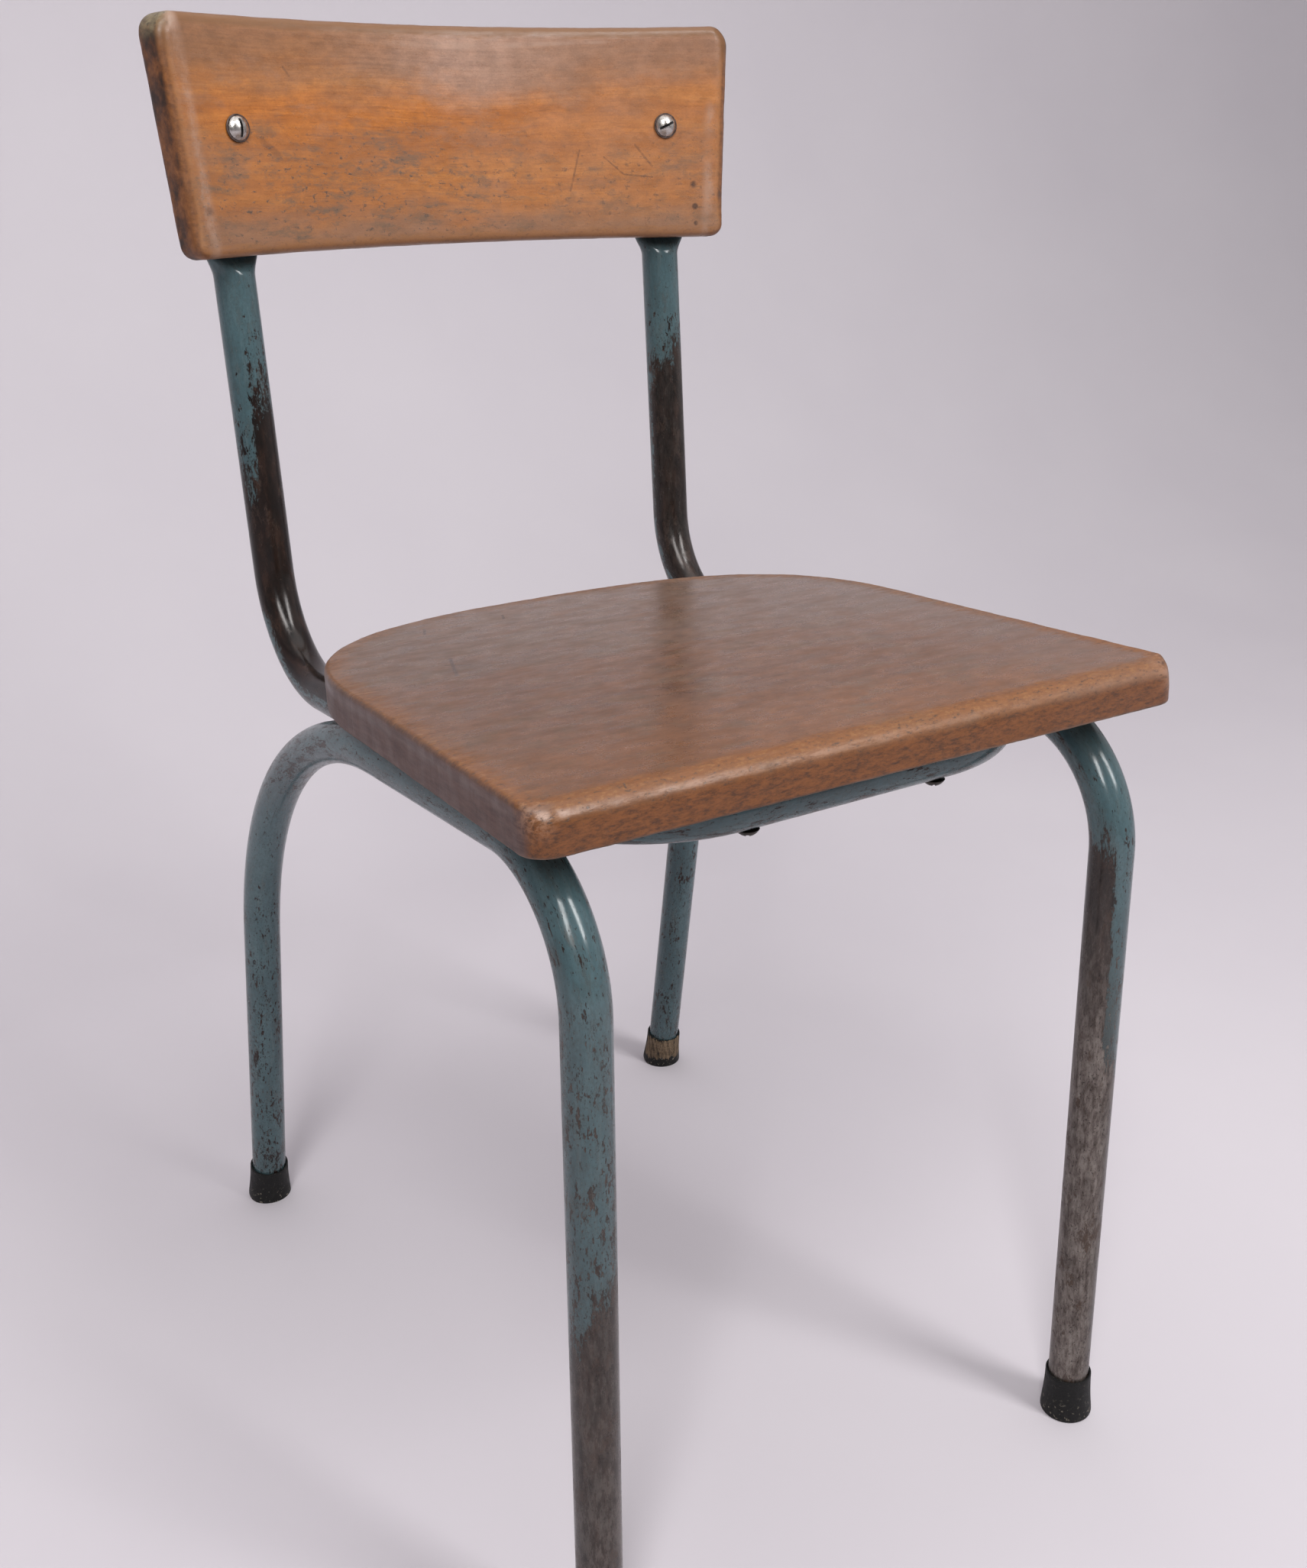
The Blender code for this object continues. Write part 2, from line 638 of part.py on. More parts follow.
for (side_name, side), slot_turn in zip(SIDES, (LEFT_SLOT_TURN, RIGHT_SLOT_TURN)):
    # the placement is on the back of the board, looking out of its face
    normal = front_normal(side)
    on_board = mirrored(tab_middle, side) + normal * (TAB_THICKNESS / 2 + GAP)
    axis_place = frame_at(on_board, normal)
    screw = turned(side_name + "_backrest_screw", back_screw_profile, bright_steel, axis_place, SMALL_TURN_STEPS)
    slot_place = (
        axis_place
        @ Matrix.Translation((0.0, 0.0, head_back + BACK_SCREW_HEAD_HEIGHT))
        @ Matrix.Rotation(slot_turn, 4, "Z")
    )
    cut(screw, box_cutter(side_name + "_backrest_screw_slot", back_slot_size, slot_place))
    turned(side_name + "_backrest_washer", washer_profile, dark_steel, axis_place, SMALL_TURN_STEPS, closed=True)
    hole_place = axis_place @ Matrix.Translation((0.0, 0.0, shank_end))
    hole = cylinder_cutter(side_name + "_backrest_hole", back_shank + GAP, hole_reach, hole_place)
    cut(backrest, hole)
    cut(back_frame, hole)
    bpy.ops.mesh.primitive_cylinder_add(
        vertices=6, radius=NUT_ACROSS_FLATS / sqrt(3.0), depth=NUT_THICKNESS,
    )
    nut = bpy.context.object
    bpy.context.collection.objects.unlink(nut)
    nut_place = axis_place @ Matrix.Translation((0.0, 0.0, nut_front - NUT_THICKNESS / 2))
    nut = add_mesh(side_name + "_backrest_nut", nut.data, dark_steel, nut_place, smooth=False)
    cut(nut, hole)

# Weld beads, in the valley under each pair of rails, at the two ends of their straight run side by side
weld_drop = sqrt((TUBE_RADIUS + GAP + WELD_RADIUS) ** 2 - (RAIL_SPACING / 2) ** 2)
for side_name, side in SIDES:
    front_corner, rear_corner = hoop_corners(side)
    along = (rear_corner - front_corner).normalized()
    front_turn = foot_and_lean(side, "front")[1].angle(along)
    rear_turn = along.angle(-foot_and_lean(side, "rear")[1])
    hoop_start = front_corner.y + FRONT_LEG_BEND * tan(front_turn / 2)
    hoop_end = rear_corner.y - REAR_LEG_BEND * tan(rear_turn / 2)
    run_start = max(hoop_start, CROSS_TUBE_Y + CROSS_TUBE_BEND)
    places = (
        ("front", run_start + WELD_LENGTH / 2),
        ("rear", hoop_end - WELD_LENGTH / 2),
    )
    for row, y in places:
        name = side_name + "_" + row + "_weld"
        x = inner_rail_x(side, y) + side * RAIL_SPACING / 2
        bpy.ops.mesh.primitive_uv_sphere_add(segments=10, ring_count=8, radius=1.0)
        bead = bpy.context.object
        bpy.context.collection.objects.unlink(bead)
        size = Matrix.Diagonal((WELD_RADIUS, WELD_RADIUS, WELD_LENGTH / 2, 1.0))
        bead.data.transform(size)
        add_mesh(name, bead.data, weld_metal, frame_at(rail_point(x, y, -weld_drop), along))
        bpy.data.objects.remove(bead, do_unlink=True)
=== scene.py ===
"""Looks for the peeling paint chair: fine tubes, boards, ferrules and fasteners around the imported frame.

Metres, in the frame of the CAD: +Z up, the chair faces -Y, the origin is on the floor between the feet.
"""

import bpy
from math import asin, atan2, ceil, cos, pi, radians, sin, sqrt, tan
from mathutils import Matrix, Vector, noise


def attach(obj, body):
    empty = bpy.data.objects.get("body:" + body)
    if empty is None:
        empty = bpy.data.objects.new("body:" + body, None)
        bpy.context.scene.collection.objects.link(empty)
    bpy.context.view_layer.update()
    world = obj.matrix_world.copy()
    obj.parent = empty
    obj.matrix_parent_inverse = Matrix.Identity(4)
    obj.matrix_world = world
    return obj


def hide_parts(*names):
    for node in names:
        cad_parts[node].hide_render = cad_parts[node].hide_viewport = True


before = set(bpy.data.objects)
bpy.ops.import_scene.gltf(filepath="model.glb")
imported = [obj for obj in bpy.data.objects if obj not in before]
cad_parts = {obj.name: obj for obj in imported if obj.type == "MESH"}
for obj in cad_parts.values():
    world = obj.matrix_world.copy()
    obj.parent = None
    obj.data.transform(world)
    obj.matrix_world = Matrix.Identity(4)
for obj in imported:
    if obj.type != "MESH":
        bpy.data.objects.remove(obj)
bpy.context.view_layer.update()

# Sizes of the frame, as in the CAD
GAP = 0.0003
TUBE_RADIUS = 0.011
FRONT_TRACK = 0.3066
REAR_TRACK = 0.3208
BASE_DEPTH = 0.4432
FRONT_LEG_LEAN = radians(0.70)
REAR_LEG_LEAN = radians(10.73)
LEG_SPLAY = radians(0.77)
RAIL_HEIGHT = 0.3988
RAIL_SLOPE = radians(2.94)
FRONT_LEG_BEND = 0.0616
REAR_LEG_BEND = 0.2233
CROSS_TUBE_Y = -0.1914
CROSS_TUBE_BEND = 0.0697
POST_FOOT_Y = 0.1553
POST_BEND = 0.0607
POST_RECLINE = radians(4.39)
POST_SPLAY = radians(0.45)
POST_TOP_ABOVE_SCREW = 0.031
PRESS_LENGTH = 0.014
TAB_THICKNESS = 0.0040

# Ferrules
FERRULE_WALL_TOP = 0.0012
FERRULE_WALL_FOOT = 0.0028
FERRULE_HEIGHT = 0.027
FERRULE_FLOOR = 0.006
FERRULE_LIP = 0.0006
FERRULE_LIP_EDGE = 0.0003
FERRULE_LIP_CROWN = 0.0001
FERRULE_COLLAR = 0.0024
FERRULE_COLLAR_AND_TOE = 0.0044
FERRULE_WAIST = 0.0003
FERRULE_HUB = 0.004
FERRULE_BELOW_FLOOR = 0.006
FERRULE_TOE = ((0.0, 0.0012), (0.0002, 0.0004), (0.0008, -FERRULE_BELOW_FLOOR))

# Boards
SEAT_WIDTH = 0.3475
SEAT_FRONT_Y = -0.2268
SEAT_REAR_Y = 0.0975
SEAT_THICKNESS = 0.0220
SEAT_SIDE_TAPER = radians(1.6)
SEAT_CORNER_RADIUS = 0.0135
SEAT_REAR_ROUND = 0.138
SEAT_REAR_EXPONENT = 2.75
SEAT_NOSE_RADIUS = 0.0120
SEAT_EDGE_RADIUS = 0.0040
SEAT_UNDER_RADIUS = 0.0020
SEAT_OFFSET = 0.0005
SEAT_TURN = radians(-0.7)
BACKREST_TOP_WIDTH = 0.3460
BACKREST_FOOT_WIDTH = 0.3290
BACKREST_ABOVE_SCREW = 0.0543
BACKREST_BELOW_SCREW = 0.0603
BACKREST_FOOT_ARCH = 0.0034
BACKREST_THICKNESS = 0.0190
BACKREST_RADIUS = 0.525
BACKREST_TOP_CORNER = 0.0110
BACKREST_FOOT_CORNER = 0.0080
BACKREST_FRONT_ROUND = 0.0065
BACKREST_REAR_ROUND = 0.0045
BACKREST_END_ROUND = 0.0095
BACKREST_OFFSET = 0.0010

# Screws
SEAT_SCREW_SHANK = 0.0023
SEAT_SCREW_HEAD = 0.00535
SEAT_SCREW_HEAD_HEIGHT = 0.0032
SEAT_SCREW_REACH = 0.034
SEAT_SCREW_TURNS = {"front": radians(35.0), "rear": radians(70.0)}
FRONT_SEAT_SCREW_SPREAD = 0.1050
REAR_SEAT_SCREW_Y = 0.0300
BACK_SCREW_HEIGHT = RAIL_HEIGHT + 0.2808
BACK_SCREW_SHANK = 0.0028
BACK_SCREW_HEAD = 0.0059
BACK_SCREW_HEAD_HEIGHT = 0.0030
BACK_SCREW_TAIL = 0.0025
WASHER_RADIUS = 0.0069
WASHER_THICKNESS = 0.0008
WASHER_EDGE = 0.0002
NUT_THICKNESS = 0.0040
LEFT_SLOT_TURN = radians(90.0)
RIGHT_SLOT_TURN = radians(23.0)
SLOT_WIDTH = 0.0014
SLOT_DEPTH = 0.0016
WELD_LENGTH = 0.024
WELD_RADIUS = 0.0022
WELD_RIPPLE = 0.10
WELD_RIPPLES = 9

# Fineness of the shown meshes
TUBE_SIDES = 48
BEND_STEP = radians(2.5)
RING_STEP = 0.004
TURN_STEPS = 48
OUTLINE_STEP = 0.0025
CORNER_STEP = radians(6.0)
FILL_RINGS = 26
TOP_FILL_POWER = 0.8
FOOT_FILL_POWER = 1.2
ROUND_POWER = 0.80
HUB_RIM = 0.1
HALF_CUTTER = 0.502
WELD_SIDES = 20
SHARP_ANGLE = radians(40.0)

# How far the shown boards stay inside the CAD, and how knocks take their rims back
BOARD_INSET = 0.0002
RIM_REACH = 0.012
KNOCK_REACH = 0.016
SEAT_RIM_WEAR = 0.00025
SEAT_CORNER_KNOCKS = {-1: 0.0014, 1: 0.0010}
BACKREST_RIM_WEAR = 0.00022
BACKREST_CORNER_KNOCK = 0.0012

# Rims drawn in at the tube's ends, as shares of its width
OPEN_END = (0.86, 0.86)
PRESSED_END = (0.30, 0.93)
LIP_DEPTH = 0.004

END_SLOPE = (BACKREST_TOP_WIDTH - BACKREST_FOOT_WIDTH) / 2 / (BACKREST_ABOVE_SCREW + BACKREST_BELOW_SCREW)
RAIL_SPACING = 2 * TUBE_RADIUS + GAP
RAIL_NORMAL = Vector((0.0, sin(RAIL_SLOPE), cos(RAIL_SLOPE)))
RAIL_MIDDLE = Vector((0.0, 0.0, RAIL_HEIGHT))
SEAT_LIFT = TUBE_RADIUS + GAP
SIDES = (("left", -1), ("right", 1))


def blend_share(value, low, high):
    """0 at low, 1 at high, with a smooth run between them."""
    share = min(max((value - low) / (high - low), 0.0), 1.0)
    return share * share * (3 - 2 * share)


# The frame's middle lines, worked out as in the CAD
def meet_rails(place, direction):
    """Where a line meets the plane through the middles of the rails."""
    reach = (RAIL_MIDDLE - place).dot(RAIL_NORMAL) / direction.dot(RAIL_NORMAL)
    return place + direction * reach


def rail_point(x, y, lift=0.0):
    """A point of the rails' plane, raised along its normal."""
    return Vector((x, y, RAIL_HEIGHT - tan(RAIL_SLOPE) * y)) + RAIL_NORMAL * lift


def foot_and_lean(side, row):
    """The middle of a foot on the floor, and the upward direction of its leg."""
    if row == "front":
        foot = Vector((side * FRONT_TRACK / 2, -BASE_DEPTH / 2, 0.0))
        lean = Vector((-side * tan(LEG_SPLAY), tan(FRONT_LEG_LEAN), 1.0))
    else:
        foot = Vector((side * REAR_TRACK / 2, BASE_DEPTH / 2, 0.0))
        lean = Vector((-side * tan(LEG_SPLAY), -tan(REAR_LEG_LEAN), 1.0))
    return foot, lean.normalized()


def hoop_corners(side):
    """Where the lines of a hoop's two legs meet the line of its rail."""
    return meet_rails(*foot_and_lean(side, "front")), meet_rails(*foot_and_lean(side, "rear"))


def inner_rail_x(side, y):
    """The back frame's rail, side by side with the hoop's rail."""
    front, rear = hoop_corners(side)
    along = (rear - front).normalized()
    outer = front.x + (y - front.y) * along.x / along.y
    return outer - side * RAIL_SPACING / along.y


def mirrored(point, side):
    """A point of the right half, taken to the given side."""
    return Vector((side * point.x, point.y, point.z))


def fillet(corners, radii, bend_step=BEND_STEP):
    """The points of a path through corners, each inner corner rounded to its radius."""
    path = [corners[0]]
    for before, corner, after, radius in zip(corners, corners[1:], corners[2:], radii):
        towards_start = (before - corner).normalized()
        towards_end = (after - corner).normalized()
        opening = towards_start.angle(towards_end)
        turn = pi - opening
        middle = corner + (towards_start + towards_end).normalized() * radius / sin(opening / 2)
        axis = towards_end.cross(towards_start).normalized()
        arm = corner + towards_start * radius / tan(opening / 2) - middle
        steps = max(2, ceil(turn / bend_step))
        for step in range(steps + 1):
            path.append(middle + Matrix.Rotation(turn * step / steps, 3, axis) @ arm)
    path.append(corners[-1])
    return path


def filled_in(path, step):
    """The same path with points no further apart than the step."""
    dense = [path[0]]
    for start, end in zip(path, path[1:]):
        pieces = max(1, ceil((end - start).length / step))
        dense += [start.lerp(end, i / pieces) for i in range(1, pieces + 1)]
    return dense


backrest_turn = Matrix.Rotation(-POST_RECLINE, 3, "X")
tab_depth = BACKREST_THICKNESS + GAP + TAB_THICKNESS / 2
post_corner = rail_point(inner_rail_x(1, POST_FOOT_Y), POST_FOOT_Y)
post_lean = Vector((tan(POST_SPLAY), tan(POST_RECLINE), 1.0))
tab_middle = post_corner + post_lean * (BACK_SCREW_HEIGHT - post_corner.z)
screw_angle = asin(tab_middle.x / (BACKREST_RADIUS + tab_depth))
tab_in_board = Vector((
    (BACKREST_RADIUS + tab_depth) * sin(screw_angle),
    (BACKREST_RADIUS + tab_depth) * cos(screw_angle) - BACKREST_RADIUS,
    0.0,
))
backrest_origin = tab_middle - backrest_turn @ tab_in_board


def front_normal(side):
    """The direction that the backrest's face looks in at a screw."""
    return backrest_turn @ Vector((-side * sin(screw_angle), -cos(screw_angle), 0.0))


def squared_to(axis, vector):
    """The direction of a vector once it is made square to an axis."""
    return (vector - vector.dot(axis) * axis).normalized()


def frame_at(place, z_axis):
    """A placement at a point, with +Z along z_axis and +X as near to the frame's own as it can be."""
    z_axis = z_axis.normalized()
    x_axis = squared_to(z_axis, Vector((1.0, 0.0, 0.0)))
    y_axis = z_axis.cross(x_axis)
    return Matrix.Translation(place) @ Matrix((x_axis, y_axis, z_axis)).transposed().to_4x4()


def on_axis(place, height, turn):
    """A placement further up another one's axis, and turned about it."""
    return place @ Matrix.Translation((0.0, 0.0, height)) @ Matrix.Rotation(turn, 4, "Z")


# Building pieces
def in_scene(name, data):
    """A new object in the scene."""
    made = bpy.data.objects.new(name, data)
    bpy.context.scene.collection.objects.link(made)
    return made


def smoothed(mesh):
    """Shades a mesh smooth, apart from its sharp edges."""
    mesh.shade_smooth()
    mesh.set_sharp_from_angle(angle=SHARP_ANGLE)


def new_piece(name, points, faces, material, replaced, fields=None):
    """A smooth mesh piece on the body, with its own values at each point for the material."""
    mesh = bpy.data.meshes.new(name)
    mesh.from_pydata([tuple(point) for point in points], [], faces)
    mesh.materials.append(material)
    for field, values in (fields or {}).items():
        is_vector = not isinstance(values[0], (float, int))
        attribute = mesh.attributes.new(field, "FLOAT_VECTOR" if is_vector else "FLOAT", "POINT")
        if is_vector:
            attribute.data.foreach_set("vector", [part for value in values for part in value])
        else:
            attribute.data.foreach_set("value", values)
    mesh.update()
    smoothed(mesh)
    piece = in_scene(name, mesh)
    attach(piece, "root")
    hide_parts(*replaced)
    return piece


def ring_faces(rings, count):
    """The faces between rings of points that follow one another."""
    faces = []
    for first in range(0, (rings - 1) * count, count):
        for index in range(count):
            here, beside = first + index, first + (index + 1) % count
            faces.append((here, here + count, beside + count, beside))
    return faces


def lip(ring, middle, inwards, thick_axis, wide_axis, shares, depth):
    """A tube end's inner rim: the ring drawn in towards the middle, and sunk into the tube."""
    thick_share, wide_share = shares
    points = []
    for point in ring:
        arm = point - middle
        drawn = thick_axis * arm.dot(thick_axis) * thick_share + wide_axis * arm.dot(wide_axis) * wide_share
        points.append(middle + drawn + inwards * depth)
    return points


def tube_mesh(path, radius, shape=None, end_shares=OPEN_END, end_axes=None):
    """Rings of points along a path, with their faces.

    Each point comes with its place in the tube drawn straight (across, across, along), and with its
    outward direction.
    """
    points, rods, outwards, faces = [], [], [], []
    run = 0.0
    tangent = (path[1] - path[0]).normalized()
    normal = tangent.orthogonal().normalized()
    for index, place in enumerate(path):
        before = path[max(index - 1, 0)]
        after = path[min(index + 1, len(path) - 1)]
        new_tangent = (after - before).normalized()
        normal = (tangent.rotation_difference(new_tangent) @ normal).normalized()
        tangent = new_tangent
        run += (place - before).length
        across = tangent.cross(normal)
        for side in range(TUBE_SIDES):
            angle = 2 * pi * side / TUBE_SIDES
            outward = normal * cos(angle) + across * sin(angle)
            point = place + outward * radius
            points.append(shape(point) if shape else point)
            rods.append((radius * cos(angle), radius * sin(angle), run))
            outwards.append(outward)
    last = (len(path) - 1) * TUBE_SIDES
    for first in range(0, last, TUBE_SIDES):
        for side in range(TUBE_SIDES):
            here, beside = first + side, first + (side + 1) % TUBE_SIDES
            faces.append((here, beside, beside + TUBE_SIDES, here + TUBE_SIDES))
    for end, first, inwards in ((0, 0, path[1] - path[0]), (1, last, path[-2] - path[-1])):
        flip = end == 0
        ring = points[first:first + TUBE_SIDES]
        inwards = inwards.normalized()
        middle = sum(ring, Vector()) / TUBE_SIDES
        thick_axis = squared_to(inwards, end_axes[end] if end_axes else inwards.orthogonal())
        wide_axis = inwards.cross(thick_axis)
        previous = first
        for depth in (0.0, LIP_DEPTH):
            start = len(points)
            points += lip(ring, middle, inwards, thick_axis, wide_axis, end_shares, depth)
            rods += rods[first:first + TUBE_SIDES]
            outwards += outwards[first:first + TUBE_SIDES]
            for side in range(TUBE_SIDES):
                next_side = (side + 1) % TUBE_SIDES
                face = (previous + side, previous + next_side, start + next_side, start + side)
                faces.append(face[::-1] if flip else face)
            previous = start
        cap = tuple(range(previous, previous + TUBE_SIDES))
        faces.append(cap[::-1] if flip else cap)
    return points, rods, outwards, faces


def rounded_board(outline, thickness, top_round, foot_round, wear_depth):
    """A board lying flat, from z = 0 up, as rings of points from the middle of its top to that of its foot.

    Returns its points, its flat places for the grain, how far in from the edge each is, and its faces.
    """
    count = len(outline)
    centre = sum((Vector((x, y, 0.0)) for x, y in outline), Vector()) / count
    outward = []
    for index in range(count):
        before, after = outline[index - 1], outline[(index + 1) % count]
        outward.append(Vector((after[1] - before[1], before[0] - after[0], 0.0)).normalized())
    round_steps, side_steps, foot_steps = 10, 4, 4
    rings = []
    for fill in range(1, FILL_RINGS):
        rings.append(("top", (fill / FILL_RINGS) ** TOP_FILL_POWER))
    rings += [("top round", step / round_steps) for step in range(round_steps + 1)]
    rings += [("side", step / side_steps) for step in range(1, side_steps)]
    rings += [("foot round", step / foot_steps) for step in range(foot_steps + 1)]
    for fill in range(1, FILL_RINGS):
        rings.append(("foot", 1 - (fill / FILL_RINGS) ** FOOT_FILL_POWER))
    points, grains, rims, normals = [], [], [], []
    for kind, share in rings:
        for (x, y), out in zip(outline, outward):
            edge = Vector((x, y, 0.0))
            radius = top_round(edge)
            up = Vector((0.0, 0.0, 1.0))
            if kind in ("top", "foot"):
                inset = radius if kind == "top" else foot_round
                inner = edge - out * inset
                spot = centre.lerp(inner, share)
                spot.z = thickness if kind == "top" else 0.0
                normal = up if kind == "top" else -up
                rim = inset + (inner - spot).xy.length
            elif kind == "top round":
                angle = share * pi / 2
                aside, above = sin(angle) ** ROUND_POWER, max(cos(angle), 0.0) ** ROUND_POWER
                spot = edge - out * radius * (1 - aside) + up * (thickness - radius * (1 - above))
                normal = out * sin(angle) + up * cos(angle)
                rim = radius * (1 - aside)
            elif kind == "side":
                spot = edge + up * (thickness - radius + (foot_round - thickness + radius) * share)
                normal = out
                rim = 0.0
            else:
                angle = share * pi / 2
                spot = edge - out * foot_round * (1 - cos(angle)) + up * foot_round * (1 - sin(angle))
                normal = out * cos(angle) - up * sin(angle)
                rim = foot_round * (1 - cos(angle))
            points.append(spot)
            grains.append(tuple(spot))
            rims.append(rim)
            normals.append(normal)
    faces = ring_faces(len(rings), count)
    for height, first, flip in ((thickness, 0, False), (0.0, (len(rings) - 1) * count, True)):
        hub = len(points)
        points.append(Vector((centre.x, centre.y, height)))
        grains.append(tuple(points[-1]))
        rims.append(HUB_RIM)
        normals.append(Vector((0.0, 0.0, -1.0 if flip else 1.0)))
        for index in range(count):
            face = (hub, first + index, first + (index + 1) % count)
            faces.append(face[::-1] if flip else face)
    worn = [
        point - normal * (BOARD_INSET + wear_depth(point, rim))
        for point, normal, rim in zip(points, normals, rims)
    ]
    return worn, grains, rims, faces


def lathe(profile, place, steps=TURN_STEPS, floor=False):
    """Points and faces of a turned shape, from a profile of (radius, height) that runs down its outer side.

    With floor, what would go below z = 0 is brought up along the piece's own axis to stand flat on it.
    """
    axis = place.to_3x3() @ Vector((0.0, 0.0, 1.0))
    points = []
    for radius, height in profile:
        for step in range(steps):
            angle = 2 * pi * step / steps
            point = place @ Vector((radius * cos(angle), radius * sin(angle), height))
            if floor and point.z < 0.0:
                point -= axis * point.z / axis.z
                point.z = 0.0
            points.append(point)
    faces = ring_faces(len(profile), steps)
    faces.append(tuple(range(steps)))
    last = (len(profile) - 1) * steps
    faces.append(tuple(range(last, last + steps))[::-1])
    return points, faces


def dome(radius, height, steps=9):
    """A domed head from near its top to its rim, as (radius, height above the seat of the head)."""
    sphere = (radius ** 2 + height ** 2) / (2 * height)
    sweep = asin(radius / sphere)
    angles = [sweep * step / steps for step in range(1, steps + 1)]
    return [(sphere * sin(angle), height - sphere * (1 - cos(angle))) for angle in angles]


def cut_slot(piece, size, place):
    """Cuts a screwdriver slot into a head, and leaves the result as plain mesh."""
    bpy.ops.mesh.primitive_cube_add(size=1.0)
    cutter = bpy.context.object
    cutter_place = place @ Matrix.Diagonal((*size, 1.0))
    cutter.matrix_world = cutter_place
    bpy.context.view_layer.update()
    modifier = piece.modifiers.new("slot", "BOOLEAN")
    modifier.operation = "DIFFERENCE"
    modifier.solver = "EXACT"
    modifier.object = cutter
    cut_mesh = bpy.data.meshes.new_from_object(piece.evaluated_get(bpy.context.evaluated_depsgraph_get()))
    piece.modifiers.remove(modifier)
    bpy.data.objects.remove(cutter, do_unlink=True)
    cut_mesh.materials.append(slot_dirt_and_shade)
    to_slot = cutter_place.inverted()
    for polygon in cut_mesh.polygons:
        middle = to_slot @ polygon.center
        if max(abs(middle.x), abs(middle.y), abs(middle.z)) < HALF_CUTTER:
            polygon.material_index = len(cut_mesh.materials) - 1
    piece.data = cut_mesh
    smoothed(cut_mesh)


# Material graphs
STREAK_CORE = 0.35


